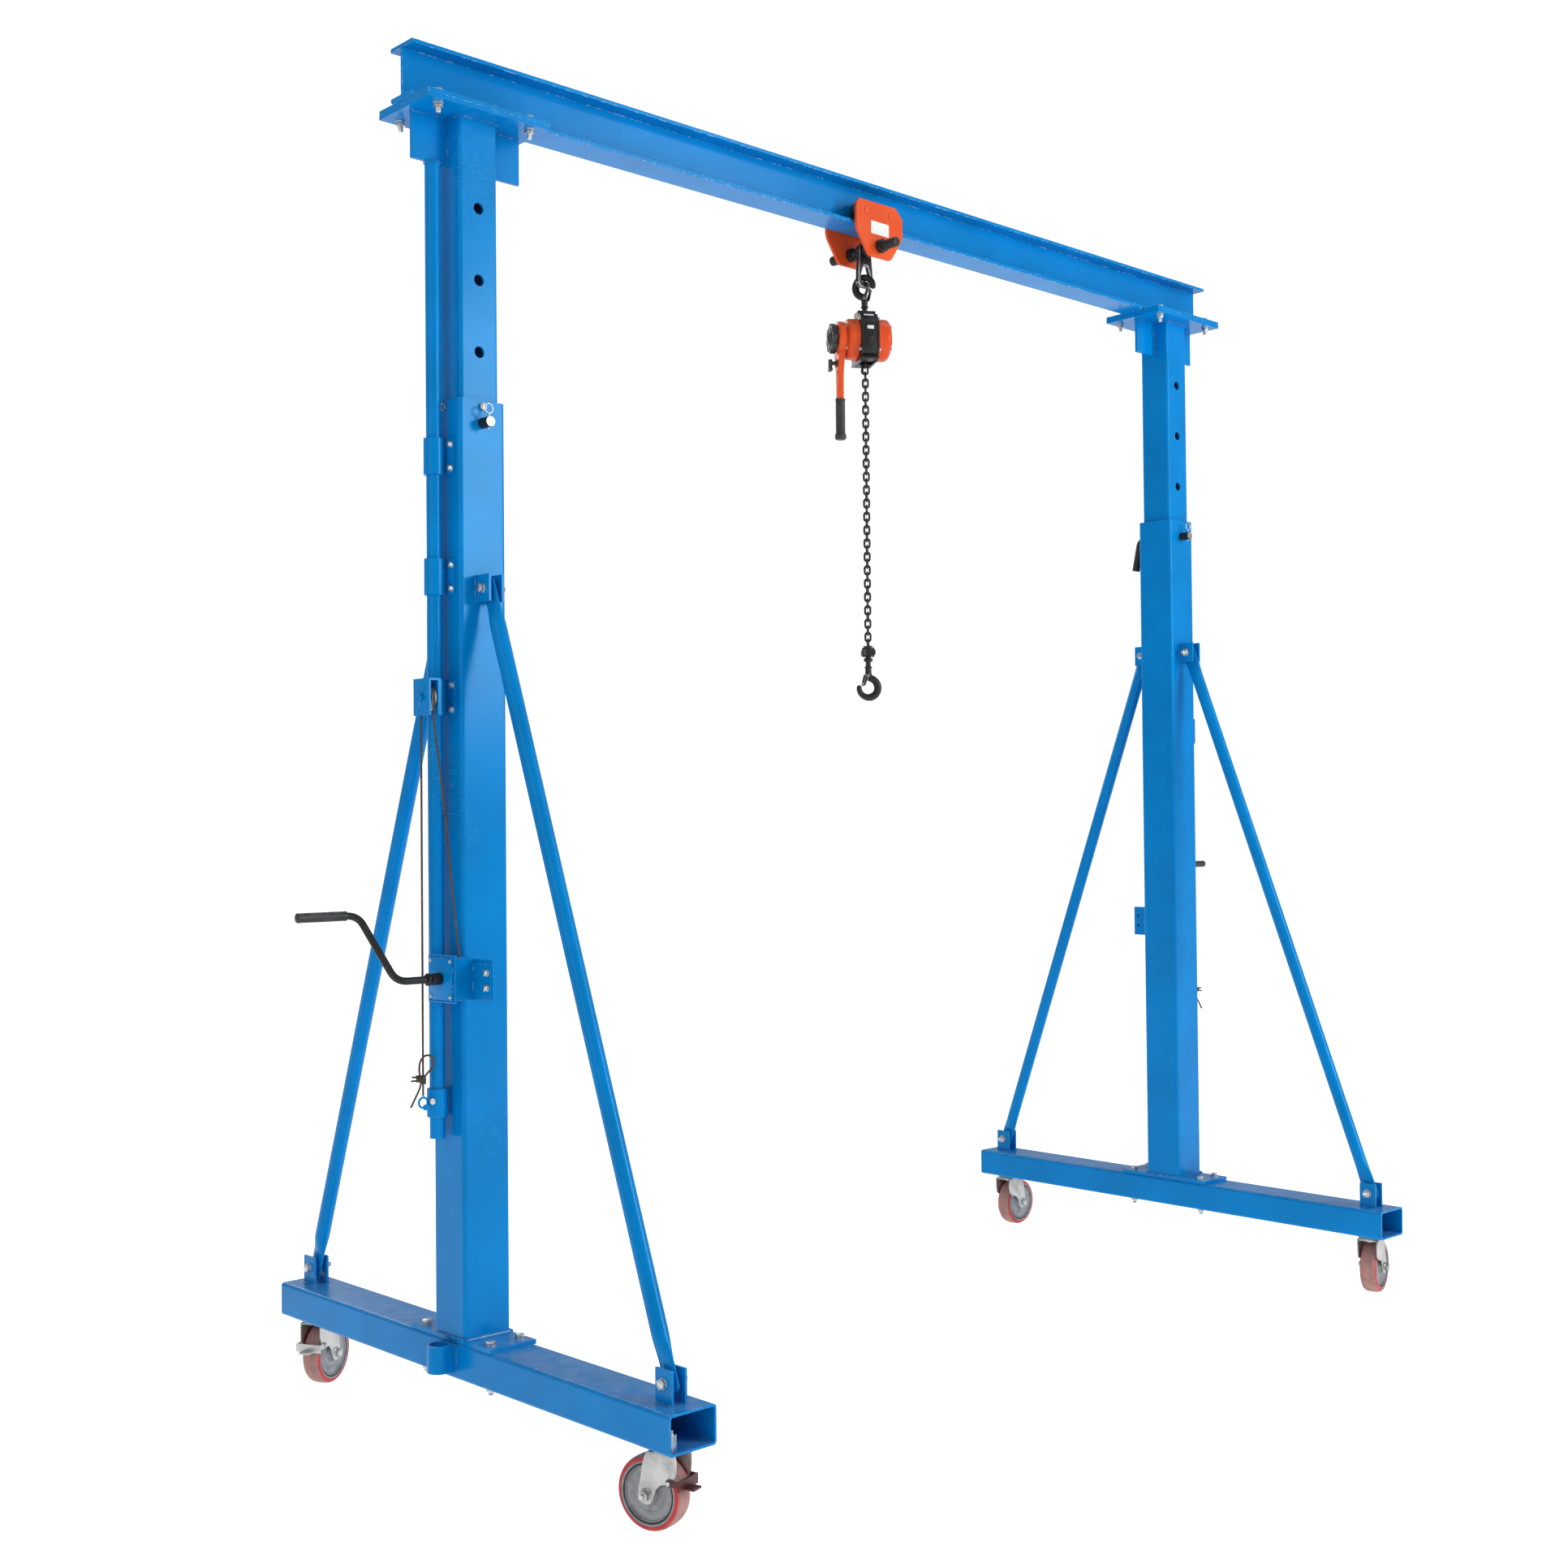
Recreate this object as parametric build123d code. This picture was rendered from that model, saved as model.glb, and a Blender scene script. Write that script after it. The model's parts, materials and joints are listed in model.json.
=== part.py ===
from build123d import *
import math
import os

# Portable gantry crane. Millimetres, +Z up, origin on the floor midway between the legs.
# X runs along the I-beam, Y along the two base beams.

# ---- overall layout ----
LEG_X = 1315.0  # column centre from the middle of the span
BEAM_LENGTH = 2960.0
BASE_LENGTH = 1500.0
CASTER_HEIGHT = 172.0  # floor to the underside of a base beam
COLUMN_TOP = 2318.0
HEAD_Z = 2946.0  # underside of a mast's head plate
PIN_Z = 2267.0  # lock pin axis
HOLE_PITCH = 160.0
HOLES_EACH_WAY = 3
TROLLEY_X = -42.0  # where the trolley stands along the beam
HOIST_YAW = -31.0  # heading of the hoist's shaft
TOP_HOOK_YAW = -70.0  # heading of the plane of each hook
LOAD_HOOK_YAW = -30.0

# ---- base beam ----
BASE_WIDTH = 120.0
BASE_DEPTH = 80.0
TUBE_WALL = 5.0
BASE_TOP = CASTER_HEIGHT + BASE_DEPTH
CLEVIS_Y = 685.0
CLEVIS_LIFT = 40.0  # brace bolt above the base beam
EAR_THICK = 6.0
EAR_GAP = 28.0
EAR_WIDE = 50.0

# ---- outer column ----
COLUMN = 120.0
FOOT = (120.0, 310.0, 10.0)
FOOT_TOP = BASE_TOP + FOOT[2]
FOOT_BOLTS = (38.0, 125.0)
BRACE_TOP_Z = 1899.0
BRACE_TOP_Y = 84.0
BRACE_RADIUS = 18.0
PIN_RADIUS = 12.0
PIN_FIT = 0.05
BOLT_RADIUS = 6.0

# ---- inner mast ----
MAST = 100.0
MAST_WALL = 6.0
MAST_BOTTOM = 1500.0
HEAD_PLATE = (320.0, 200.0, 10.0)
HEAD_BOLTS = (120.0, 76.0)
GUSSET = (92.0, 8.0, 105.0)

# ---- lift tube, its guides and the pulley ----
TUBE_OFFSET = 88.0  # lift tube axis from the column axis
TUBE_RADIUS = 17.0
TUBE_BOTTOM = 698.0
GUIDE_Z = (2190.0, 1925.0, 1660.0)
GUIDE_HIGH = 80.0
GUIDE_BORE = 17.6
GUIDE_RADIUS = 23.0
CATCH_Z = (190.0, 250.0)
COLLAR_Z = (746.0, 806.0)
PULLEY_X = -LEG_X - 126.0
PULLEY_Y = -28.0
PULLEY_Z = 1657.0
PULLEY_GROOVE = 22.5  # bottom of the groove
ROPE_RADIUS = 2.5
ROPE_RUN = PULLEY_GROOVE + ROPE_RADIUS
EYE_Z = 792.0

# ---- winch ----
WINCH_Y = -70.0
WINCH_Z = 1051.0
WINCH_HALF = 45.5  # half the width of the housing along Y
WINCH_BOX = (-LEG_X - 123.0, -LEG_X - 68.0, WINCH_Y - WINCH_HALF, WINCH_Y + WINCH_HALF, 1005.0, 1097.0)
BOX_WALL = 3.0
DRUM_RADIUS = 32.5
DRUM_FLANGE = 41.0
DRUM_ROPE_X = -LEG_X - 95.0
CRANK_ROD = 8.0
CRANK_ARM = 190.0
CRANK_BEND_X = -LEG_X - 233.0
CRANK_END_X = -LEG_X - 392.0
NEAR_CRANK_ANGLE = 46.0
FAR_CRANK_ANGLE = 113.0

# ---- casters ----
WHEEL_RADIUS = 74.0
WHEEL_WIDE = 46.0
TREAD = 9.0
TRAIL = 38.0
CASTER_Y = 680.0
CASTER_YAWS = {
    "left_front": 106.6,
    "left_rear": 28.0,
    "right_front": 14.0,
    "right_rear": 3.0,
}

# ---- I-beam ----
BEAM_BOTTOM = HEAD_Z + 2 * HEAD_PLATE[2]
BEAM_HIGH = 120.0
BEAM_WIDE = 88.0
FLANGE = 9.0
WEB = 7.0

# ---- trolley ----
PLATE_IN = 52.0
PLATE_THICK = 8.0
PLATE_TOP = 3030.0
PLATE_BOTTOM = 2884.0
BAR_Z = 2915.0
BAR_RADIUS = 13.0
TROLLEY_WHEEL = 28.0
WHEEL_SPREAD = 46.0
AXLE_Z = BEAM_BOTTOM + FLANGE + TROLLEY_WHEEL + 0.3

# ---- hoist ----
HOOK_Z = 2817.8
HOOK_RING = 26.0
HOOK_WIRE = 9.0
HOIST_Z = 2675.0
HOIST_FRAME_HALF = 24.0
YOKE_POCKET = 69.0  # top of the pocket above the hoist shaft
HOOK_SHANK = 7.0
HOOK_BUTTON = (13.0, 8.0)  # radius and height
SEAT_GAP = 0.3
LOAD_WHEEL = 21.7
CHAIN_WIRE = 2.95
CHAIN_PITCH = 18.0
CHAIN_TOP = 2657.0
CHAIN_LINKS = 45
BLOCK_TOP = 1847.0
LOAD_HOOK_Z = 1738.0

made = {}


def block(x0, x1, y0, y1, z0, z1):
    middle = ((x0 + x1) / 2, (y0 + y1) / 2, (z0 + z1) / 2)
    return Pos(*middle) * Box(x1 - x0, y1 - y0, z1 - z0)


def rod(start, end, radius):
    """A round bar from one point to another."""
    a, b = Vector(*start), Vector(*end)
    plane = Plane(origin=a, z_dir=b - a)
    return plane * Cylinder(radius, (b - a).length, align=(Align.CENTER, Align.CENTER, Align.MIN))


def hexagon(start, end, across):
    """A bolt head or nut, by its width across flats."""
    a, b = Vector(*start), Vector(*end)
    plane = Plane(origin=a, z_dir=b - a)
    sketch = plane * RegularPolygon(across / 2, 6, major_radius=False)
    return extrude(sketch, (b - a).length)


def square_tube(wide_x, wide_y, wall, corner):
    return RectangleRounded(wide_x, wide_y, corner) - RectangleRounded(
        wide_x - 2 * wall, wide_y - 2 * wall, corner - wall / 2
    )


def prism(points, plane, depth):
    """A flat plate from an outline, half its depth each side of the plane."""
    face = make_face(Polyline(*points, close=True).edges())
    return extrude(plane * face, depth / 2, both=True)


def keep(name, shape):
    made[name] = shape


def group(*shapes):
    """Separate solids that share one node."""
    solids = []
    for shape in shapes:
        solids.extend(shape.solids())
    return Compound(children=solids)


def turned(shape):
    """The same thing on the other leg, which is the first one turned half round."""
    return Rot(0, 0, 180) * shape


def keep_both(name, shape):
    keep("left_" + name, shape)
    keep("right_" + name, turned(shape))


# ---- leg ----
def ears_on_base(y):
    ears = None
    z = BASE_TOP + CLEVIS_LIFT
    hole = rod((-LEG_X - 40, y, z), (-LEG_X + 40, y, z), BOLT_RADIUS)
    for side in (-1, 1):
        inner = -LEG_X + side * EAR_GAP / 2
        outer = inner + side * EAR_THICK
        ear = block(min(inner, outer), max(inner, outer), y - EAR_WIDE / 2, y + EAR_WIDE / 2,
                    BASE_TOP - 1, BASE_TOP + 68)
        ears = ear if ears is None else ears + ear
    return ears - hole


def base_beam():
    profile = square_tube(BASE_WIDTH, BASE_DEPTH, TUBE_WALL, 8)
    end = (-LEG_X, -BASE_LENGTH / 2, CASTER_HEIGHT + BASE_DEPTH / 2)
    plane = Plane(origin=end, x_dir=(1, 0, 0), z_dir=(0, 1, 0))
    beam = extrude(plane * profile, BASE_LENGTH)
    for y in (-CLEVIS_Y, CLEVIS_Y):
        beam += ears_on_base(y)
    axis_x = -LEG_X - TUBE_OFFSET
    face_x = -LEG_X - BASE_WIDTH / 2
    catch = rod((axis_x, 0, CATCH_Z[0]), (axis_x, 0, CATCH_Z[1]), 26)
    catch += block(axis_x, face_x + 1, -26, 26, CATCH_Z[0], CATCH_Z[1])
    catch -= rod((axis_x, 0, CATCH_Z[0] - 1), (axis_x, 0, CATCH_Z[1] + 1), 21)
    beam += catch
    for sx in (-1, 1):
        for sy in (-1, 1):
            x, y = -LEG_X + sx * FOOT_BOLTS[0], sy * FOOT_BOLTS[1]
            beam -= rod((x, y, CASTER_HEIGHT - 1), (x, y, BASE_TOP + 1), BOLT_RADIUS)
    for sy in (-1, 1):
        y = sy * CASTER_Y
        beam -= rod((-LEG_X, y, CASTER_HEIGHT - 1), (-LEG_X, y, CASTER_HEIGHT + 10), 8)
    return beam


def ears_on_column(side):
    ears = None
    y = side * BRACE_TOP_Y
    hole = rod((-LEG_X - 40, y, BRACE_TOP_Z), (-LEG_X + 40, y, BRACE_TOP_Z), BOLT_RADIUS)
    near, far = side * (COLUMN / 2 - 1), side * (COLUMN / 2 + 50)
    for sx in (-1, 1):
        inner = -LEG_X + sx * EAR_GAP / 2
        outer = inner + sx * EAR_THICK
        ear = block(min(inner, outer), max(inner, outer), min(near, far), max(near, far),
                    BRACE_TOP_Z - 30, BRACE_TOP_Z + 30)
        ears = ear if ears is None else ears + ear
    return ears - hole


def column():
    profile = square_tube(COLUMN, COLUMN, TUBE_WALL, 9)
    tube = Pos(-LEG_X, 0, FOOT_TOP) * extrude(profile, COLUMN_TOP - FOOT_TOP)
    tube += block(-LEG_X - FOOT[0] / 2, -LEG_X + FOOT[0] / 2, -FOOT[1] / 2, FOOT[1] / 2, BASE_TOP, FOOT_TOP)
    tube += ears_on_column(-1) + ears_on_column(1)
    face_x = -LEG_X - COLUMN / 2
    plate = block(face_x - 8, face_x + 0.5, -184, WINCH_Y + WINCH_HALF, 1003, 1093)
    for z in (1033, 1065):
        plate -= rod((face_x - 12, -168, z), (face_x + 5, -168, z), 4)
    tube += plate
    tube -= rod((-LEG_X, -80, PIN_Z), (-LEG_X, 80, PIN_Z), PIN_RADIUS + PIN_FIT)
    for sx in (-1, 1):
        for sy in (-1, 1):
            x, y = -LEG_X + sx * FOOT_BOLTS[0], sy * FOOT_BOLTS[1]
            tube -= rod((x, y, BASE_TOP - 1), (x, y, FOOT_TOP + 1), BOLT_RADIUS)
    tube -= rod((-LEG_X, -70, COLUMN_TOP - 14), (-LEG_X, -50, COLUMN_TOP - 14), 5)
    tube -= rod((-LEG_X - 70, 0, COLUMN_TOP - 14), (-LEG_X - 50, 0, COLUMN_TOP - 14), 5)
    return tube


def brace(side):
    top = Vector(-LEG_X, side * BRACE_TOP_Y, BRACE_TOP_Z)
    bottom = Vector(-LEG_X, side * CLEVIS_Y, BASE_TOP + CLEVIS_LIFT)
    along = (bottom - top).normalized()
    flat = 78.0
    body = rod(tuple(top + along * 60), tuple(bottom - along * 60), BRACE_RADIUS)
    for end, way in ((top, 1), (bottom, -1)):
        start = end - along * way * 15
        plane = Plane(origin=start, x_dir=(1, 0, 0), z_dir=along * way)
        body += extrude(plane * Rectangle(12, 36), flat)
        body -= rod(tuple(end - Vector(30, 0, 0)), tuple(end + Vector(30, 0, 0)), BOLT_RADIUS)
    return body


def cross_bolt(y, z, reach, head_across):
    """A bolt along X with its head at -X and a nut at +X."""
    left, right = -LEG_X - reach, -LEG_X + reach
    bolt = rod((left - 1, y, z), (right + 14, y, z), BOLT_RADIUS)
    bolt += hexagon((left, y, z), (left - 8, y, z), head_across)
    nut = hexagon((right, y, z), (right + 10, y, z), head_across)
    return [bolt, nut - rod((right - 1, y, z), (right + 20, y, z), BOLT_RADIUS)]


def foot_bolt(x, y):
    bolt = rod((x, y, CASTER_HEIGHT - 24), (x, y, FOOT_TOP + 1), BOLT_RADIUS)
    bolt += hexagon((x, y, FOOT_TOP), (x, y, FOOT_TOP + 8), 19)
    nut = hexagon((x, y, CASTER_HEIGHT), (x, y, CASTER_HEIGHT - 10), 19)
    return [bolt, nut - rod((x, y, CASTER_HEIGHT - 20), (x, y, CASTER_HEIGHT + 1), BOLT_RADIUS)]


def leg_fasteners():
    pieces = []
    reach = EAR_GAP / 2 + EAR_THICK
    for side in (-1, 1):
        pieces += cross_bolt(side * CLEVIS_Y, BASE_TOP + CLEVIS_LIFT, reach, 19)
        pieces += cross_bolt(side * BRACE_TOP_Y, BRACE_TOP_Z, reach, 19)
        for sx in (-1, 1):
            pieces += foot_bolt(-LEG_X + sx * FOOT_BOLTS[0], side * FOOT_BOLTS[1])
    z = COLUMN_TOP - 14
    pieces.append(rod((-LEG_X, -54, z), (-LEG_X, -61, z), 5)
                  + hexagon((-LEG_X, -60, z), (-LEG_X, -67, z), 17))
    pieces.append(rod((-LEG_X - 54, 0, z), (-LEG_X - 61, 0, z), 5)
                  + hexagon((-LEG_X - 60, 0, z), (-LEG_X - 67, 0, z), 17))
    face_x = -LEG_X - COLUMN / 2
    for z in GUIDE_Z:
        for y in (-33, 33):
            for dz in (-26, 26):
                pieces.append(hexagon((face_x - 6, y, z + dz), (face_x - 12, y, z + dz), 13))
    for z in (1033, 1065):
        screw = rod((face_x - 12, -168, z), (face_x + 8, -168, z), 4)
        pieces.append(screw + hexagon((face_x - 11, -168, z), (face_x - 17, -168, z), 13))
    return group(*pieces)


def guide(z):
    face_x = -LEG_X - COLUMN / 2
    axis_x = -LEG_X - TUBE_OFFSET
    low, high = z - GUIDE_HIGH / 2, z + GUIDE_HIGH / 2
    body = rod((axis_x, 0, low), (axis_x, 0, high), GUIDE_RADIUS)
    body += block(face_x - 6, face_x, -42, 42, low, high)
    body += block(axis_x, face_x - 3, -9, 9, low, high)
    return body - rod((axis_x, 0, low - 1), (axis_x, 0, high + 1), GUIDE_BORE)


def pulley_bracket():
    z = PULLEY_Z
    inner = -LEG_X - TUBE_OFFSET - GUIDE_RADIUS + 2
    out = PULLEY_X - 14
    y0, y1 = PULLEY_Y - 29, PULLEY_Y + 33
    body = block(PULLEY_X + 9, inner, y0, y1, z - 38, z + 42)
    body += block(out, out + 5, y0, y1, z - 38, z + 42)
    body += block(out, inner, y0, y1, z + 37, z + 42)
    axis_x = -LEG_X - TUBE_OFFSET
    body -= rod((axis_x, 0, z - 60), (axis_x, 0, z + 60), GUIDE_BORE)
    return body - rod((out - 5, PULLEY_Y, z), (inner + 5, PULLEY_Y, z), 5)


def guides():
    lowest = guide(GUIDE_Z[2]) + pulley_bracket()
    axle = rod((PULLEY_X - 18, PULLEY_Y, PULLEY_Z), (PULLEY_X + 14, PULLEY_Y, PULLEY_Z), 5)
    axle += hexagon((PULLEY_X - 14, PULLEY_Y, PULLEY_Z), (PULLEY_X - 20, PULLEY_Y, PULLEY_Z), 16)
    return group(guide(GUIDE_Z[0]), guide(GUIDE_Z[1]), lowest, axle)


def pulley():
    """Revolved about its axle, with a round-bottomed groove cut as a V."""
    half, rim = 5.5, PULLEY_GROOVE + 6
    outline = [(5.05, -half), (rim, -half), (rim, -half + 1.2), (PULLEY_GROOVE, -2.0),
               (PULLEY_GROOVE, 2.0), (rim, half - 1.2), (rim, half), (5.05, half)]
    face = make_face(Polyline(*outline, close=True).edges())
    wheel = revolve(Plane.XZ * face, Axis.Z)
    return Pos(PULLEY_X, PULLEY_Y, PULLEY_Z) * Rot(0, 90, 0) * wheel


def winch_box():
    x0, x1, y0, y1, z0, z1 = WINCH_BOX
    wall = BOX_WALL
    body = block(x0, x1, y0, y1, z0, z1)
    body -= block(x0 + wall, x1 - wall, y0 + wall, y1 - wall, z0 + wall, z1 - wall)
    body += block(x1 - wall, x1, -182, y0 + 1, 1013, 1085)
    for z in (1033, 1065):
        body -= rod((x1 - 5, -168, z), (x1 + 5, -168, z), 4)
    rope_y = WINCH_Y - DRUM_RADIUS - ROPE_RADIUS
    body -= block(DRUM_ROPE_X - 20, DRUM_ROPE_X + 20, rope_y - 9, rope_y + 9, z1 - wall - 1, z1 + 1)
    return body - rod((x0 - 5, WINCH_Y, WINCH_Z), (x1 + 5, WINCH_Y, WINCH_Z), CRANK_ROD + PIN_FIT)


def crank(angle):
    x0, x1 = WINCH_BOX[0], WINCH_BOX[1]
    dy = CRANK_ARM * math.cos(math.radians(angle))
    dz = CRANK_ARM * math.sin(math.radians(angle))
    path = FilletPolyline(
        (x1 - 0.5, WINCH_Y, WINCH_Z),
        (CRANK_BEND_X, WINCH_Y, WINCH_Z),
        (CRANK_BEND_X - 14, WINCH_Y + dy, WINCH_Z + dz),
        (CRANK_END_X, WINCH_Y + dy, WINCH_Z + dz),
        radius=28,
    )
    start = Plane(origin=path @ 0, z_dir=path % 0)
    bar = sweep(start * Circle(CRANK_ROD), path=path)
    socket = rod((x0 - 1, WINCH_Y, WINCH_Z), (x0 - 26, WINCH_Y, WINCH_Z), 13)
    socket -= rod((x0, WINCH_Y, WINCH_Z), (x0 - 30, WINCH_Y, WINCH_Z), CRANK_ROD)
    spool = rod((x0 + 6, WINCH_Y, WINCH_Z), (x1 - 6, WINCH_Y, WINCH_Z), DRUM_RADIUS)
    for a in (x0 + 5, x1 - 8):
        spool += rod((a, WINCH_Y, WINCH_Z), (a + 3, WINCH_Y, WINCH_Z), DRUM_FLANGE)
    spool -= rod((x0, WINCH_Y, WINCH_Z), (x1, WINCH_Y, WINCH_Z), CRANK_ROD)
    return group(bar, socket, spool)


def lock_pin(x):
    path = FilletPolyline((x, -92, PIN_Z), (x, 96, PIN_Z), (x, 116, PIN_Z - 92), radius=14)
    start = Plane(origin=path @ 0, z_dir=path % 0)
    bar = sweep(start * Circle(PIN_RADIUS), path=path)
    return bar - rod((x, -85, PIN_Z - 20), (x, -85, PIN_Z + 20), 1.9)


def r_clip(x):
    straight = rod((x, -85, PIN_Z - 17), (x, -85, PIN_Z + 20), 1.5)
    loop = Pos(x, -85, PIN_Z + 29) * Rot(90, 0, 0) * Torus(10, 1.5)
    return straight + loop


def leg_ropes():
    """The rope from the drum up to its pulley, and the fall down to the eye."""
    lean = math.atan2(DRUM_RADIUS - PULLEY_GROOVE - PULLEY_Y + WINCH_Y, PULLEY_Z - WINCH_Z)
    drum_y = WINCH_Y - (DRUM_RADIUS + ROPE_RADIUS) / math.cos(lean) - 0.5
    up = (PULLEY_X, PULLEY_Y - ROPE_RUN, PULLEY_Z)
    down = (PULLEY_X, PULLEY_Y + ROPE_RUN, PULLEY_Z)
    stand = rod((DRUM_ROPE_X, drum_y, WINCH_Z), up, ROPE_RADIUS)
    arc = Plane(origin=(PULLEY_X, PULLEY_Y, PULLEY_Z), x_dir=(0, 1, 0), z_dir=(1, 0, 0))
    over = arc * CenterArc((0, 0), ROPE_RUN, 0, 180)
    start = Plane(origin=over @ 0, z_dir=over % 0)
    bend = sweep(start * Circle(ROPE_RADIUS), path=over)
    fall = rod(down, (down[0], down[1], EYE_Z + 1), ROPE_RADIUS)
    return group(stand, bend), fall


# ---- casters ----
def caster_head(y):
    """Stem, nut and the fixed race plate under a base beam."""
    x, z = -LEG_X, CASTER_HEIGHT
    stem = rod((x, y, z - 1), (x, y, z + 26), 8) + rod((x, y, z), (x, y, z - 5), 34)
    nut = hexagon((x, y, z + 5), (x, y, z + 18), 24) - rod((x, y, z), (x, y, z + 30), 8)
    return [stem, nut]


def caster_fork():
    """Around its own swivel axis, trailing along +X, floor at zero."""
    top = CASTER_HEIGHT - 5.3
    axle_z = WHEEL_RADIUS
    cheek_in, cheek_out = WHEEL_WIDE / 2 + 3, WHEEL_WIDE / 2 + 7
    body = rod((0, 0, top), (0, 0, top - 9), 31)
    body += block(-28, TRAIL - 2, -cheek_out, cheek_out, top - 9, top - 5)
    outline = [(-28, top - 5), (TRAIL - 2, top - 5), (TRAIL + 17, axle_z), (TRAIL + 11, axle_z - 14),
               (TRAIL - 11, axle_z - 14), (TRAIL - 18, axle_z + 6)]
    for side in (-1, 1):
        y = side * (cheek_in + cheek_out) / 2
        body += Pos(0, y, 0) * prism(outline, Plane.XZ, cheek_out - cheek_in)
    body -= rod((TRAIL, -40, axle_z), (TRAIL, 40, axle_z), 6)
    axle = rod((TRAIL, -cheek_out - 6, axle_z), (TRAIL, cheek_out + 6, axle_z), 6)
    axle += hexagon((TRAIL, -cheek_out, axle_z), (TRAIL, -cheek_out - 6, axle_z), 17)
    axle += hexagon((TRAIL, cheek_out, axle_z), (TRAIL, cheek_out + 6, axle_z), 17)
    return group(body, axle)


def caster_wheel():
    half = WHEEL_WIDE / 2
    core_r = WHEEL_RADIUS - TREAD
    outline = [(6.05, -half - 2), (16, -half - 2), (18, -half + 6), (core_r - 12, -half + 6),
               (core_r - 8, -half), (core_r, -half), (core_r, half), (core_r - 8, half),
               (core_r - 12, half - 6), (18, half - 6), (16, half + 2), (6.05, half + 2)]
    core = revolve(Plane.XZ * make_face(Polyline(*outline, close=True).edges()), Axis.Z)
    tread_line = [(core_r, -half), (WHEEL_RADIUS - 4, -half), (WHEEL_RADIUS, -half + 6),
                  (WHEEL_RADIUS, half - 6), (WHEEL_RADIUS - 4, half), (core_r, half)]
    tread = revolve(Plane.XZ * make_face(Polyline(*tread_line, close=True).edges()), Axis.Z)
    place = Pos(TRAIL, 0, WHEEL_RADIUS) * Rot(90, 0, 0)
    return group(place * core, place * tread)


def brake_pedal():
    """A stamped lever across the leading side of the fork."""
    y = WHEEL_WIDE / 2 + 8.2
    body = block(-64, -40, -14, 14, 92, 96) + block(-43, -39, -y - 3, y + 3, 92, 112)
    for side in (-1, 1):
        low, high = sorted((side * y, side * (y + 3)))
        body += block(-42, -12, low, high, 100, 112)
        body -= rod((-18, -60, 106), (-18, 60, 106), 3.05)
    return body


def brake_pivots():
    y = WHEEL_WIDE / 2 + 6.5
    return [rod((-18, s * y, 106), (-18, s * (y + 6), 106), 3) for s in (-1, 1)]


def place_casters():
    spots = {
        "left_front": (-LEG_X, -CASTER_Y),
        "left_rear": (-LEG_X, CASTER_Y),
        "right_front": (LEG_X, -CASTER_Y),
        "right_rear": (LEG_X, CASTER_Y),
    }
    for name, (x, y) in spots.items():
        place = Pos(x, y, 0) * Rot(0, 0, CASTER_YAWS[name])
        fork = caster_fork()
        if name.startswith("left"):
            offset = WHEEL_WIDE / 2 + 5
            lugs = [block(-28, -8, s * offset - 2, s * offset + 2, 98, CASTER_HEIGHT - 9) for s in (-1, 1)]
            solids = fork.solids()
            body, axle = solids[0], solids[1]
            for piece in lugs:
                body = body + piece
            fork = group(body, axle, *brake_pivots())
            keep(name + "_brake_pedal", place * brake_pedal())
        keep(name + "_caster_fork", place * fork)
        keep(name + "_caster_wheel", place * caster_wheel())


# ---- bridge ----
def i_beam():
    half, wide = BEAM_LENGTH / 2, BEAM_WIDE / 2
    z0, z1 = BEAM_BOTTOM, BEAM_BOTTOM + BEAM_HIGH
    body = block(-half, half, -wide, wide, z0, z0 + FLANGE)
    body += block(-half, half, -wide, wide, z1 - FLANGE, z1)
    body += block(-half, half, -WEB / 2, WEB / 2, z0, z1)
    for side in (-1, 1):
        x = side * LEG_X
        px, py, pz = HEAD_PLATE
        plate = block(x - px / 2, x + px / 2, -py / 2, py / 2, z0 - pz, z0)
        for sx in (-1, 1):
            for sy in (-1, 1):
                bx, by = x + sx * HEAD_BOLTS[0], sy * HEAD_BOLTS[1]
                plate -= rod((bx, by, z0 - pz - 1), (bx, by, z0 + 1), BOLT_RADIUS)
        body += plate
    return body


def mast():
    high = HEAD_Z - MAST_BOTTOM
    body = Pos(-LEG_X, 0, MAST_BOTTOM) * extrude(square_tube(MAST, MAST, MAST_WALL, 8), high)
    px, py, pz = HEAD_PLATE
    plate = block(-LEG_X - px / 2, -LEG_X + px / 2, -py / 2, py / 2, HEAD_Z, HEAD_Z + pz)
    for sx in (-1, 1):
        for sy in (-1, 1):
            x, y = -LEG_X + sx * HEAD_BOLTS[0], sy * HEAD_BOLTS[1]
            plate -= rod((x, y, HEAD_Z - 1), (x, y, HEAD_Z + pz + 1), BOLT_RADIUS)
    body += plate
    for sx in (-1, 1):
        near = -LEG_X + sx * (MAST / 2 - 1)
        far = near + sx * (GUSSET[0] + 1)
        thick = GUSSET[1] / 2
        body += block(min(near, far), max(near, far), -thick, thick, HEAD_Z - GUSSET[2], HEAD_Z)
    for k in range(-HOLES_EACH_WAY, HOLES_EACH_WAY + 1):
        z = PIN_Z + k * HOLE_PITCH
        body -= rod((-LEG_X, -MAST, z), (-LEG_X, MAST, z), PIN_RADIUS + 1)
    return body


def lift_tube():
    x = -LEG_X - TUBE_OFFSET
    body = rod((x, 0, TUBE_BOTTOM), (x, 0, HEAD_Z - GUSSET[2]), TUBE_RADIUS)
    return body - rod((x, 0, TUBE_BOTTOM - 1), (x, 0, HEAD_Z - GUSSET[2] - 40), TUBE_RADIUS - 3)


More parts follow.
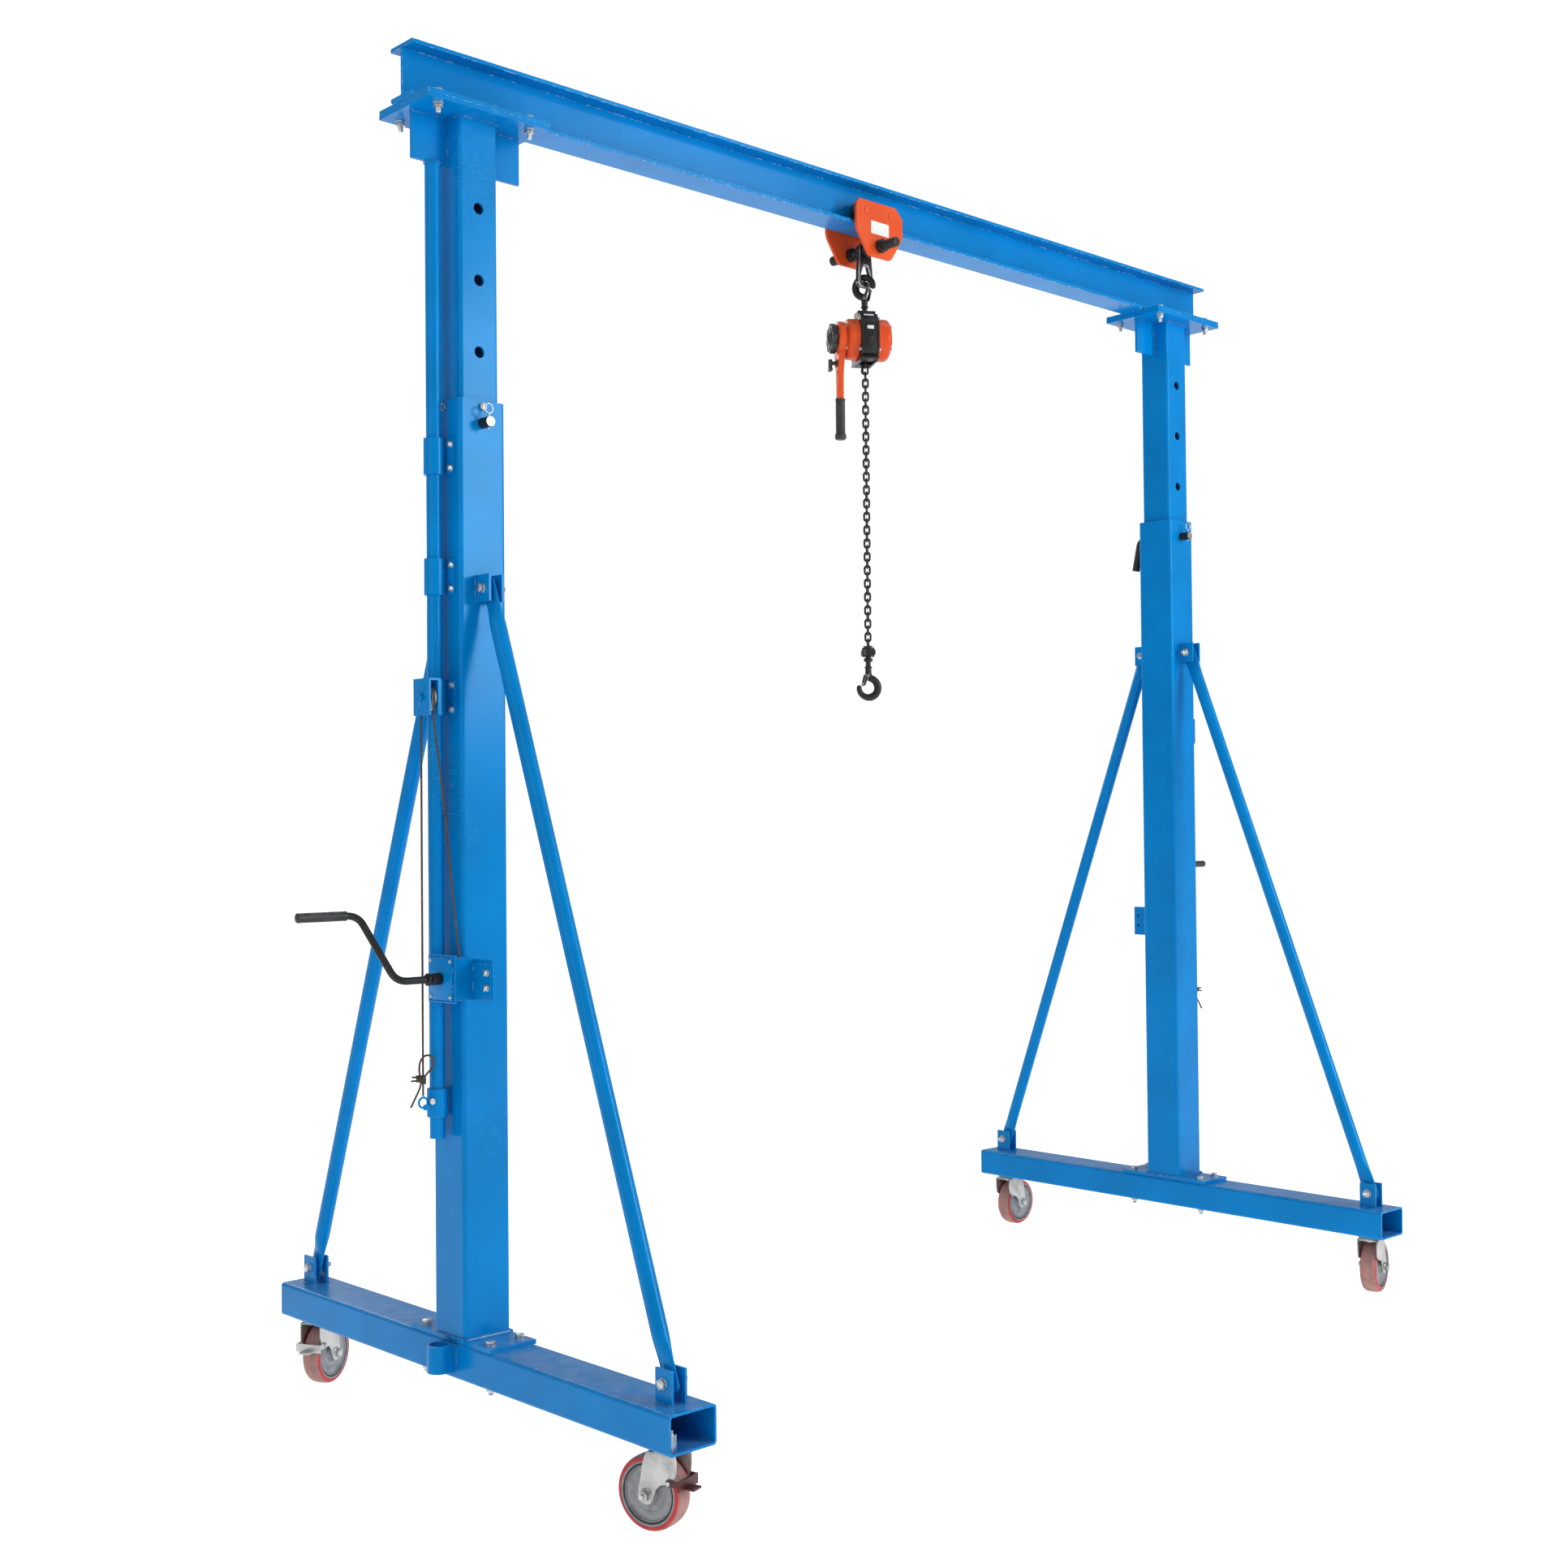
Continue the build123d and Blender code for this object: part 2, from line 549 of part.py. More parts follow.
def collar():
    x = -LEG_X - TUBE_OFFSET
    low, high = COLLAR_Z
    body = rod((x, 0, low), (x, 0, high), GUIDE_RADIUS)
    body -= rod((x, 0, low - 1), (x, 0, high + 1), TUBE_RADIUS)
    screw = hexagon((x, GUIDE_RADIUS - 1, 776), (x, GUIDE_RADIUS + 6, 776), 13)
    body += block(PULLEY_X + 2, x - 18, -6.5, 0.5, EYE_Z - 30, EYE_Z - 18)
    eye_y = PULLEY_Y + ROPE_RUN
    eye = Pos(PULLEY_X, eye_y, EYE_Z - 13) * Rot(90, 0, 0) * Torus(11, 2.6)
    return body + screw + eye


def beam_bolts():
    pieces = []
    top, low = BEAM_BOTTOM, HEAD_Z
    for side in (-1, 1):
        for sx in (-1, 1):
            for sy in (-1, 1):
                x, y = side * LEG_X + sx * HEAD_BOLTS[0], sy * HEAD_BOLTS[1]
                bolt = rod((x, y, low - 24), (x, y, top + 1), BOLT_RADIUS)
                bolt += hexagon((x, y, top), (x, y, top + 8), 19)
                nut = hexagon((x, y, low), (x, y, low - 10), 19)
                pieces += [bolt, nut - rod((x, y, low - 20), (x, y, low + 1), BOLT_RADIUS)]
    return group(*pieces)


# ---- trolley ----
def trolley_plates():
    high, mid, low = PLATE_TOP, 2952.0, PLATE_BOTTOM
    outline = [(-88, high - 14), (-76, high), (62, high), (88, high - 26), (88, mid + 8), (84, mid - 6),
               (46, low + 6), (38, low), (-38, low), (-46, low + 6), (-84, mid - 6), (-88, mid + 8)]
    pieces = []
    for side in (-1, 1):
        y = side * (PLATE_IN + PLATE_THICK / 2)
        plate = Pos(TROLLEY_X, y, 0) * prism(outline, Plane.XZ, PLATE_THICK)
        plate -= rod((TROLLEY_X, y - 9, BAR_Z), (TROLLEY_X, y + 9, BAR_Z), BAR_RADIUS)
        for sx in (-1, 1):
            x = TROLLEY_X + sx * WHEEL_SPREAD
            plate += rod((x, side * (PLATE_IN + 1), AXLE_Z), (x, side * 18, AXLE_Z), 8)
            plate += rod((x, side * (PLATE_IN + 1), AXLE_Z), (x, side * 47, AXLE_Z), 13)
        pieces.append(plate)
    return group(*pieces)


def trolley_bar():
    z = BAR_Z
    bar = rod((TROLLEY_X, -122, z), (TROLLEY_X, 122, z), BAR_RADIUS)
    collars = []
    for side in (-1, 1):
        collars.append(rod((TROLLEY_X, side * 61, z), (TROLLEY_X, side * 74, z), 16))
        collars.append(rod((TROLLEY_X, side * 38, z), (TROLLEY_X, side * 51.9, z), 18))
        collars.append(rod((TROLLEY_X, side * 10, z), (TROLLEY_X, side * 16, z), 19))
    for piece in collars:
        bar += piece
    return bar


def trolley_wheels(side_x):
    x = TROLLEY_X + side_x * WHEEL_SPREAD
    pieces = []
    for side in (-1, 1):
        wheel = rod((x, side * 19, AXLE_Z), (x, side * 43, AXLE_Z), TROLLEY_WHEEL)
        wheel += rod((x, side * 43, AXLE_Z), (x, side * 46.7, AXLE_Z), 20)
        pieces.append(wheel - rod((x, side * 15, AXLE_Z), (x, side * 50, AXLE_Z), 8.05))
    return group(*pieces)


def shackle():
    """The flat hanger on the crossbar."""
    outline = [(-21, BAR_Z), (21, BAR_Z), (27, 2860), (28, 2826),
               (20, 2816), (-20, 2816), (-28, 2826), (-27, 2860)]
    body = Pos(TROLLEY_X, 0, 0) * prism(outline, Plane.XZ, 12)
    body += rod((TROLLEY_X, -6, BAR_Z), (TROLLEY_X, 6, BAR_Z), 23)
    hole = [(-17, 2833), (17, 2833), (17, 2850), (7, 2876), (-7, 2876), (-17, 2850)]
    cut = Pos(TROLLEY_X, 0, 0) * prism(hole, Plane.XZ, 20)
    body = body - cut
    return body - rod((TROLLEY_X, -20, BAR_Z), (TROLLEY_X, 20, BAR_Z), BAR_RADIUS + PIN_FIT)


# ---- hoist ----
def hook_bend(ring, wire, start, sweep_angle):
    """A bowl of round bar in the XZ plane about the origin, with a rounded tip."""
    path = Plane.XZ * CenterArc((0, 0), ring, start, sweep_angle)
    section = Plane(origin=path @ 0, z_dir=path % 0)
    bowl = sweep(section * Circle(wire), path=path)
    return bowl + Pos(*(path @ 1)) * Sphere(wire)


def top_hook():
    """Stands mouth up through the hanger, its mouth to +X before it is turned."""
    body = hook_bend(HOOK_RING, HOOK_WIRE, -90, -270)
    neck = rod((0, 0, -HOOK_RING - 16), (0, 0, -HOOK_RING + 2), HOOK_WIRE)
    radius, high = HOOK_BUTTON
    top = HOIST_Z + YOKE_POCKET - SEAT_GAP - HOOK_Z
    shank = rod((0, 0, top - 1), (0, 0, -HOOK_RING - 12), HOOK_SHANK)
    button = rod((0, 0, top - high), (0, 0, top), radius)
    body = body + neck + shank + button
    return Pos(TROLLEY_X, 0, HOOK_Z) * Rot(0, 0, TOP_HOOK_YAW) * body


def latch():
    """A keeper from a hook's neck to the inside of its tip, the hook's mouth to +X."""
    strap = prism([(-2, -36), (10, -36), (17, -8), (15, -5), (11, -5), (4, -22)], Plane.XZ, 24)
    strap -= block(-30, 30, -HOOK_WIRE - 0.4, HOOK_WIRE + 0.4, -60, -13)
    return strap - rod((4, -30, -31), (4, 30, -31), 2)


def top_latch():
    return Pos(TROLLEY_X, 0, HOOK_Z) * Rot(0, 0, TOP_HOOK_YAW) * latch()


def in_hoist(shape):
    return Pos(TROLLEY_X, 0, HOIST_Z) * Rot(0, 0, HOIST_YAW) * shape


def hoist_frame():
    half = HOIST_FRAME_HALF
    outline = [(-40, 62), (40, 62), (62, 36), (62, -40), (40, -66), (-40, -66), (-62, -40), (-62, 36)]
    body = None
    for side in (-1, 1):
        plate = Pos(side * (half - 3), 0, 0) * prism(outline, Plane.YZ, 6)
        body = plate if body is None else body + plate
    body += block(-half, half, -22, 22, 55, YOKE_POCKET + 5)
    body -= block(-14, 14, -14, 14, 50, YOKE_POCKET)
    body += block(-half, half, 24, 62, 30, 36) + block(-half, half, -62, -24, 30, 36)
    body += block(-half, half, 20, 58, -62, -56) + block(-half, half, -58, -20, -62, -56)
    body += rod((-half, 0, 10), (half, 0, 10), LOAD_WHEEL)
    body -= rod((0, 0, 40), (0, 0, 90), HOOK_SHANK + PIN_FIT)
    ring = Pos(0, 34, -74) * Rot(0, 90, 0) * Torus(8, 1.5)
    tie = rod((0, 34, -66), (0, 34, -60), 3)
    return in_hoist(group(body, ring + tie))


def gear_cover():
    half = HOIST_FRAME_HALF
    body = rod((half, 0, 0), (half + 40, 0, 0), 58)
    body = fillet(body.edges().filter_by(GeomType.CIRCLE).sort_by(Axis.X)[-1], 12)
    body += rod((half + 39, 0, 0), (half + 46, 0, 0), 26)
    return in_hoist(body)


def brake_cover():
    half = HOIST_FRAME_HALF
    body = rod((-half, 0, 0), (-half - 32, 0, 0), 56)
    body = fillet(body.edges().filter_by(GeomType.CIRCLE).sort_by(Axis.X)[0], 10)
    body += rod((-half - 31, 0, 0), (-half - 36, 0, 0), 40)
    return in_hoist(body + rod((-half - 30, 0, 0), (-half - 76, 0, 0), 11))


def lever():
    """The ratchet head around the shaft, its arm and the grip."""
    x0, x1 = -HOIST_FRAME_HALF - 36.4, -HOIST_FRAME_HALF - 56
    mid = (x0 + x1) / 2
    body = rod((x0, 0, 0), (x1, 0, 0), 46)
    body = body + prism([(-30, -30), (30, -30), (13, -100), (13, -180), (-13, -180), (-13, -100)],
                        Plane.YZ.offset(mid), x0 - x1)
    body -= rod((x0 + 5, 0, 0), (x1 - 5, 0, 0), 11.05)
    grip = rod((mid, 0, -180), (mid, 0, -272), 13) + rod((mid, 0, -262), (mid, 0, -272), 15)
    return in_hoist(group(body, grip))


def selector():
    x1 = -HOIST_FRAME_HALF - 56
    stem = rod((x1 - 0.3, 0, -66), (x1 - 12, 0, -66), 5)
    knob = block(x1 - 22, x1 - 12, -11, 11, -88, -56)
    return in_hoist(stem + knob)


def handwheel():
    x0 = -HOIST_FRAME_HALF - 57.5
    body = rod((x0, 0, 0), (x0 - 18, 0, 0), 38)
    for k in range(8):
        a = math.radians(45 * k + 22.5)
        y, z = 40 * math.cos(a), 40 * math.sin(a)
        body -= rod((x0 + 1, y, z), (x0 - 19, y, z), 6)
    return in_hoist(body - rod((x0 + 1, 0, 0), (x0 - 30, 0, 0), 11.05))


def chain_link():
    """Long axis along Z, lying in the XZ plane."""
    wide = 7.0
    run = CHAIN_PITCH / 2 + 3 - wide
    loop = Plane.XZ * (
        Line((wide, -run), (wide, run))
        + CenterArc((0, run), wide, 0, 180)
        + Line((-wide, run), (-wide, -run))
        + CenterArc((0, -run), wide, 180, 180)
    )
    wire = Wire(loop.edges())
    start = Plane(origin=wire @ 0, z_dir=wire % 0)
    return sweep(start * Circle(CHAIN_WIRE), path=wire)


def load_chain():
    link = chain_link()
    pieces = []
    for k in range(CHAIN_LINKS):
        z = CHAIN_TOP - CHAIN_PITCH * (k + 0.5)
        pieces.append(Pos(TROLLEY_X, 0, z) * Rot(0, 0, 45 + 90 * (k % 2)) * link)
    return Compound(children=[p.solids()[0] for p in pieces])


def bottom_block():
    z = BLOCK_TOP
    body = rod((0, 0, z - 2), (0, 0, z - 26), 17) + block(-14, 14, -24, 24, z - 22, z - 8)
    body += rod((0, 0, z + 4), (0, 0, z - 4), 12)
    body -= block(-10.5, 10.5, -10.5, 10.5, z - 17, z + 10)
    body -= rod((0, 0, z - 30), (0, 0, z - 10), 7.05)
    return Pos(TROLLEY_X, 0, 0) * Rot(0, 0, LOAD_HOOK_YAW) * body


def load_hook():
    """Hangs mouth to -X before it is turned."""
    body = hook_bend(HOOK_RING, HOOK_WIRE, 90, -270)
    body += rod((0, 0, HOOK_RING - 2), (0, 0, 56), HOOK_WIRE)
    stem = rod((0, 0, 50), (0, 0, BLOCK_TOP - LOAD_HOOK_Z - 19), 7)
    body += rod((0, 0, 70), (0, 0, 79), 12)
    body += stem
    return Pos(TROLLEY_X, 0, LOAD_HOOK_Z) * Rot(0, 0, LOAD_HOOK_YAW) * body


def load_latch():
    return Pos(TROLLEY_X, 0, LOAD_HOOK_Z) * Rot(0, 0, LOAD_HOOK_YAW) * Rot(0, 180, 0) * latch()


def build_legs():
    keep_both("base_beam", base_beam())
    keep_both("column", column())
    keep_both("braces", group(brace(-1), brace(1)))
    keep_both("leg_fasteners", leg_fasteners())
    keep_both("tube_guides", guides())
    keep_both("winch_housing", winch_box())
    keep_both("caster_stems", group(*caster_head(-CASTER_Y), *caster_head(CASTER_Y)))
    keep("left_winch_crank", crank(NEAR_CRANK_ANGLE))
    keep("right_winch_crank", turned(crank(FAR_CRANK_ANGLE)))
    keep_both("rope_pulley", pulley())
    stand, fall = leg_ropes()
    keep_both("winch_rope", stand)
    keep_both("winch_rope_fall", fall)
    for name, x in (("left", -LEG_X), ("right", LEG_X)):
        keep(name + "_lock_pin", lock_pin(x))
        keep(name + "_pin_clip", r_clip(x))


def build_bridge():
    keep("i_beam", i_beam())
    keep_both("mast", mast())
    keep_both("lift_tube", lift_tube())
    keep("lift_collars", group(collar(), turned(collar())))
    keep("beam_bolts", beam_bolts())


def build_hoist():
    keep("trolley_plates", trolley_plates())
    keep("trolley_crossbar", trolley_bar())
    keep("trolley_wheels_a", trolley_wheels(-1))
    keep("trolley_wheels_b", trolley_wheels(1))
    keep("trolley_hanger", shackle())
    keep("top_hook", top_hook())
    keep("top_hook_latch", top_latch())
    keep("hoist_frame", hoist_frame())
    keep("hoist_gear_cover", gear_cover())
    keep("hoist_brake_cover", brake_cover())
    keep("hoist_lever", lever())
    keep("lever_selector", selector())
    keep("hoist_handwheel", handwheel())
    keep("load_chain", load_chain())
    keep("load_hook_block", bottom_block())
    keep("load_hook", load_hook())
    keep("load_hook_latch", load_latch())


os.makedirs("parts", exist_ok=True)
build_legs()
place_casters()
build_bridge()
build_hoist()
for node, shape in made.items():
    export_step(shape, "parts/" + node + ".step")
print(len(made), "nodes")
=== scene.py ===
"""Looks of a portable gantry crane: telescoping legs, I-beam, push trolley and lever chain hoist."""

import json
import logging
import math
from collections.abc import Sequence
from dataclasses import dataclass, field
from enum import Enum

import bmesh
import bpy
from mathutils import Matrix, Vector, noise

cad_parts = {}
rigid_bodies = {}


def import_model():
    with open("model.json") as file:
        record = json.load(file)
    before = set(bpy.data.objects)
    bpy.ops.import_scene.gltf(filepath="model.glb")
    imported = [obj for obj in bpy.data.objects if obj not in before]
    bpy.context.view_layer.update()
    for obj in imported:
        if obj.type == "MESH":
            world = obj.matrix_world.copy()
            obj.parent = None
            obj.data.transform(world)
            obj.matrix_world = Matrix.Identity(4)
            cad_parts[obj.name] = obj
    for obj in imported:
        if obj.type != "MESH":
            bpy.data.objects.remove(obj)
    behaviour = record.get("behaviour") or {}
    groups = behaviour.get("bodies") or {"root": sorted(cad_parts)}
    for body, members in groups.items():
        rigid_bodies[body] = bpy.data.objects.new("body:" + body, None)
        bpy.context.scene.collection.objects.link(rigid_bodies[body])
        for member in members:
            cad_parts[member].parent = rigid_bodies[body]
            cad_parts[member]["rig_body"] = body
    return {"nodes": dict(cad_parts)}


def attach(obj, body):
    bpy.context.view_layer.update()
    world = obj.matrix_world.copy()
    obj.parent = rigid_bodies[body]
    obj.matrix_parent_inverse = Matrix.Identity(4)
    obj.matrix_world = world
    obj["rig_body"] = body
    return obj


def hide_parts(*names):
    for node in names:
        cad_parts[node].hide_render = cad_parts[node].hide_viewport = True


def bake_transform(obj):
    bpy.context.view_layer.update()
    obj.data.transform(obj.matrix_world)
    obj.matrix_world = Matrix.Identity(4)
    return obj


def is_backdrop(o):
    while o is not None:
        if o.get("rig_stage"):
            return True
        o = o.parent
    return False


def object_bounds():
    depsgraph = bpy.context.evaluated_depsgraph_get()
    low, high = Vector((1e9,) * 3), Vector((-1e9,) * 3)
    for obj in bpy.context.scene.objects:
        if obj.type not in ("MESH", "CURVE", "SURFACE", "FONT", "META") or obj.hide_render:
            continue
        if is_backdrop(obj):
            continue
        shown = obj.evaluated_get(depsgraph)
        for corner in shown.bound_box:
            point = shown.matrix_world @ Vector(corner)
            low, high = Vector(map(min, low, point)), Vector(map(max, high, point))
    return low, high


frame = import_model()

Point = tuple[float, float, float]
Colour = tuple[float, float, float]
Pair = tuple[float, float]

log = logging.getLogger("gantry")

FULL_TURN = 2 * math.pi
LEG_X = 1.315
TUBE_X = -1.403  # the left leg's lift tube
TROLLEY_X = -0.042


class Side(Enum):
    """The two legs. The value is the side of the span along X."""

    LEFT = -1
    RIGHT = 1

    @property
    def word(self) -> str:
        """The prefix of this leg's nodes and pieces."""
        return self.name.lower()

    @property
    def turn(self) -> Matrix:
        """Carries the left leg's geometry to this leg."""
        return Matrix.Identity(4) if self is Side.LEFT else Matrix.Rotation(math.pi, 4, "Z")


class Slot(Enum):
    """The record's material slots."""

    BLUE = "blue_enamel"
    ORANGE = "orange_enamel"
    ZINC = "zinc"
    BLACK = "black_steel"
    IRON = "wheel_iron"
    PLASTIC = "black_plastic"
    TREAD = "red_polyurethane"
    ROPE = "wire_rope"


# ---- finishes ----
class Graph:
    """A material's node tree, with short ways to add to it."""

    def __init__(self, name: str) -> None:
        """Starts an empty material with its shader and output.

        Args:
            name: The material's name.
        """
        self.material = bpy.data.materials.new(name)
        self.material.use_nodes = True
        self.tree = self.material.node_tree
        self.tree.nodes.clear()
        self.output = self.add("ShaderNodeOutputMaterial")
        self.shader = self.add("ShaderNodeBsdfPrincipled")
        self.join(self.shader.outputs["BSDF"], self.output.inputs["Surface"])
        self.coords = self.add("ShaderNodeTexCoord").outputs["Object"]

    def add(self, kind: str, **settings: object) -> bpy.types.Node:
        """Adds a node.

        Args:
            kind: The node's type name.
            **settings: Attributes to set on it.

        Returns:
            The node.
        """
        node = self.tree.nodes.new(kind)
        for key, value in settings.items():
            setattr(node, key, value)
        return node

    def join(self, start: bpy.types.NodeSocket, end: bpy.types.NodeSocket) -> None:
        """Links two sockets."""
        self.tree.links.new(start, end)

    def shared(self, group: bpy.types.NodeTree, scale: float) -> bpy.types.Node:
        """Adds a shared effect, fed with the object's own coordinates.

        Args:
            group: The effect's node group.
            scale: Its Scale input.

        Returns:
            The group node.
        """
        node = self.add("ShaderNodeGroup", node_tree=group)
        self.join(self.coords, node.inputs["Vector"])
        node.inputs["Scale"].default_value = scale
        return node

    def ramp(self, fac: bpy.types.NodeSocket, stops: Sequence[tuple[float, Colour]]) -> bpy.types.NodeSocket:
        """Maps a value to colours.

        Args:
            fac: The value.
            stops: Place and colour of each stop, in order.

        Returns:
            The colour socket.
        """
        node = self.add("ShaderNodeValToRGB")
        elements = node.color_ramp.elements
        while len(elements) < len(stops):
            elements.new(0.5)
        for element, (place, colour) in zip(elements, stops):
            element.position = place
            element.color = (*colour, 1.0)
        self.join(fac, node.inputs["Fac"])
        return node.outputs["Color"]

    def span(self, value: bpy.types.NodeSocket, source: Pair, target: Pair) -> bpy.types.NodeSocket:
        """Maps a value from one range to another, clamped.

        Args:
            value: The value.
            source: Its low and high.
            target: What they become.

        Returns:
            The mapped socket.
        """
        node = self.add("ShaderNodeMapRange")
        for name, number in zip(("From Min", "From Max", "To Min", "To Max"), (*source, *target)):
            node.inputs[name].default_value = number
        self.join(value, node.inputs["Value"])
        return node.outputs["Result"]

    def blend(self, fac: bpy.types.NodeSocket, low: object, high: object) -> bpy.types.NodeSocket:
        """Mixes two colours, each a socket or a plain colour.

        Args:
            fac: How much of the second.
            low: The first colour.
            high: The second colour.

        Returns:
            The mixed colour socket.
        """
        node = self.add("ShaderNodeMix", data_type="RGBA")
        self.join(fac, node.inputs["Factor"])
        for name, colour in (("A", low), ("B", high)):
            spot = next(s for s in node.inputs if s.name == name and s.type == "RGBA")
            if isinstance(colour, bpy.types.NodeSocket):
                self.join(colour, spot)
            else:
                spot.default_value = (*colour, 1.0)
        return next(s for s in node.outputs if s.type == "RGBA")

    def bump(self, height: bpy.types.NodeSocket, strength: float, distance: float,
             under: bpy.types.NodeSocket | None = None) -> bpy.types.NodeSocket:
        """Adds relief.

        Args:
            height: The height field.
            strength: The bump's strength.
            distance: Its depth in metres.
            under: Another bump's normal beneath this one.

        Returns:
            The normal socket.
        """
        node = self.add("ShaderNodeBump")
        node.inputs["Strength"].default_value = strength
        node.inputs["Distance"].default_value = distance
        self.join(height, node.inputs["Height"])
        if under is not None:
            self.join(under, node.inputs["Normal"])
        return node.outputs["Normal"]

    def finish(self, colour: bpy.types.NodeSocket, rough: bpy.types.NodeSocket,
               normal: bpy.types.NodeSocket) -> bpy.types.Material:
        """Plugs the varying values into the shader.

        Args:
            colour: Base colour.
            rough: Roughness.
            normal: Normal.

        Returns:
            The material.
        """
        self.join(colour, self.shader.inputs["Base Color"])
        self.join(rough, self.shader.inputs["Roughness"])
        self.join(normal, self.shader.inputs["Normal"])
        return self.material


def effect(name: str, outputs: Sequence[str]) -> tuple[bpy.types.NodeTree, bpy.types.Node, bpy.types.Node]:
    """Starts a shared shader effect with Vector and Scale inputs.

    Args:
        name: The group's name.
        outputs: Its float outputs.

    Returns:
        The group, its input node and its output node.
    """
    tree = bpy.data.node_groups.new(name, "ShaderNodeTree")
    tree.interface.new_socket("Vector", in_out="INPUT", socket_type="NodeSocketVector")
    tree.interface.new_socket("Scale", in_out="INPUT", socket_type="NodeSocketFloat")
    for output in outputs:
        tree.interface.new_socket(output, in_out="OUTPUT", socket_type="NodeSocketFloat")
    return tree, tree.nodes.new("NodeGroupInput"), tree.nodes.new("NodeGroupOutput")


def noise_in(tree: bpy.types.NodeTree, source: bpy.types.Node, times: float, detail: float,
             stretch: Point = (1.0, 1.0, 1.0)) -> bpy.types.NodeSocket:
    """A noise inside a group, at a multiple of the group's scale.

    Args:
        tree: The group.
        source: Its input node.
        times: The multiple.
        detail: Octaves.
        stretch: Scale along each axis.

    Returns:
        The noise value socket.
    """
    mapping = tree.nodes.new("ShaderNodeMapping")
    mapping.inputs["Scale"].default_value = stretch
    tree.links.new(source.outputs["Vector"], mapping.inputs["Vector"])
    product = tree.nodes.new("ShaderNodeMath")
    product.operation = "MULTIPLY"
    product.inputs[1].default_value = times
    tree.links.new(source.outputs["Scale"], product.inputs[0])
    node = tree.nodes.new("ShaderNodeTexNoise")
    node.inputs["Detail"].default_value = detail
    tree.links.new(mapping.outputs["Vector"], node.inputs["Vector"])
    tree.links.new(product.outputs[0], node.inputs["Scale"])
    return node.outputs["Fac"]


def threshold(tree: bpy.types.NodeTree, value: bpy.types.NodeSocket, low: float,
              high: float) -> bpy.types.NodeSocket:
    """Cuts a value to a soft mask inside a group.

    Args:
        tree: The group.
        value: The value.
        low: Where the mask starts.
        high: Where it is full.

    Returns:
        The mask socket.
    """
    node = tree.nodes.new("ShaderNodeMapRange")
    node.inputs["From Min"].default_value = low
    node.inputs["From Max"].default_value = high
    tree.links.new(value, node.inputs["Value"])
    return node.outputs["Result"]


def multiply(tree: bpy.types.NodeTree, first: bpy.types.NodeSocket,
             second: bpy.types.NodeSocket) -> bpy.types.NodeSocket:
    """The product of two values inside a group."""
    node = tree.nodes.new("ShaderNodeMath")
    node.operation = "MULTIPLY"
    tree.links.new(first, node.inputs[0])
    tree.links.new(second, node.inputs[1])
    return node.outputs[0]


def spray_effect() -> bpy.types.NodeTree:
    """The cloudiness, orange peel and fine runs of sprayed enamel."""
    tree, source, sink = effect("sprayed_coat", ("Cloud", "Peel", "Run"))
    tree.links.new(noise_in(tree, source, 1.0, 3.0), sink.inputs["Cloud"])
    tree.links.new(noise_in(tree, source, 60.0, 2.0), sink.inputs["Peel"])
    tree.links.new(noise_in(tree, source, 5.0, 4.0, (1.0, 1.0, 0.25)), sink.inputs["Run"])
    return tree


def scuff_effect() -> bpy.types.NodeTree:
    """Rubbed patches, thin scratches and chips."""
    tree, source, sink = effect("handling_marks", ("Rub", "Scratch", "Chip"))
    patch = threshold(tree, noise_in(tree, source, 0.6, 2.0), 0.58, 0.78)
    streak = threshold(tree, noise_in(tree, source, 14.0, 5.0, (1.0, 0.35, 3.0)), 0.5, 0.72)
    tree.links.new(multiply(tree, patch, streak), sink.inputs["Rub"])
    fine = threshold(tree, noise_in(tree, source, 30.0, 1.0, (0.12, 1.0, 5.0)), 0.7, 0.76)
    tree.links.new(multiply(tree, fine, patch), sink.inputs["Scratch"])
    tree.links.new(threshold(tree, noise_in(tree, source, 22.0, 6.0), 0.54, 0.6), sink.inputs["Chip"])
    return tree


def dust_effect() -> bpy.types.NodeTree:
    """Pale dust that settles where a face looks up."""
    tree, source, sink = effect("settled_dust", ("Dust",))
    geometry = tree.nodes.new("ShaderNodeNewGeometry")
    split = tree.nodes.new("ShaderNodeSeparateXYZ")
    tree.links.new(geometry.outputs["Normal"], split.inputs[0])
    up = threshold(tree, split.outputs["Z"], 0.35, 1.0)
    cloud = threshold(tree, noise_in(tree, source, 3.0, 5.0), 0.35, 0.75)
    tree.links.new(multiply(tree, up, cloud), sink.inputs["Dust"])
    return tree


def metal_effect() -> bpy.types.NodeTree:
    """The spangle, drawing lines and pitting of bare or plated steel."""
    tree, source, sink = effect("worked_metal", ("Spangle", "Lines", "Pits"))
    tree.links.new(noise_in(tree, source, 1.0, 4.0), sink.inputs["Spangle"])
    tree.links.new(noise_in(tree, source, 12.0, 3.0, (1.0, 1.0, 0.06)), sink.inputs["Lines"])
    tree.links.new(noise_in(tree, source, 24.0, 4.0), sink.inputs["Pits"])
    return tree


SPRAY = spray_effect()
SCUFF = scuff_effect()
DUST = dust_effect()
METAL = metal_effect()


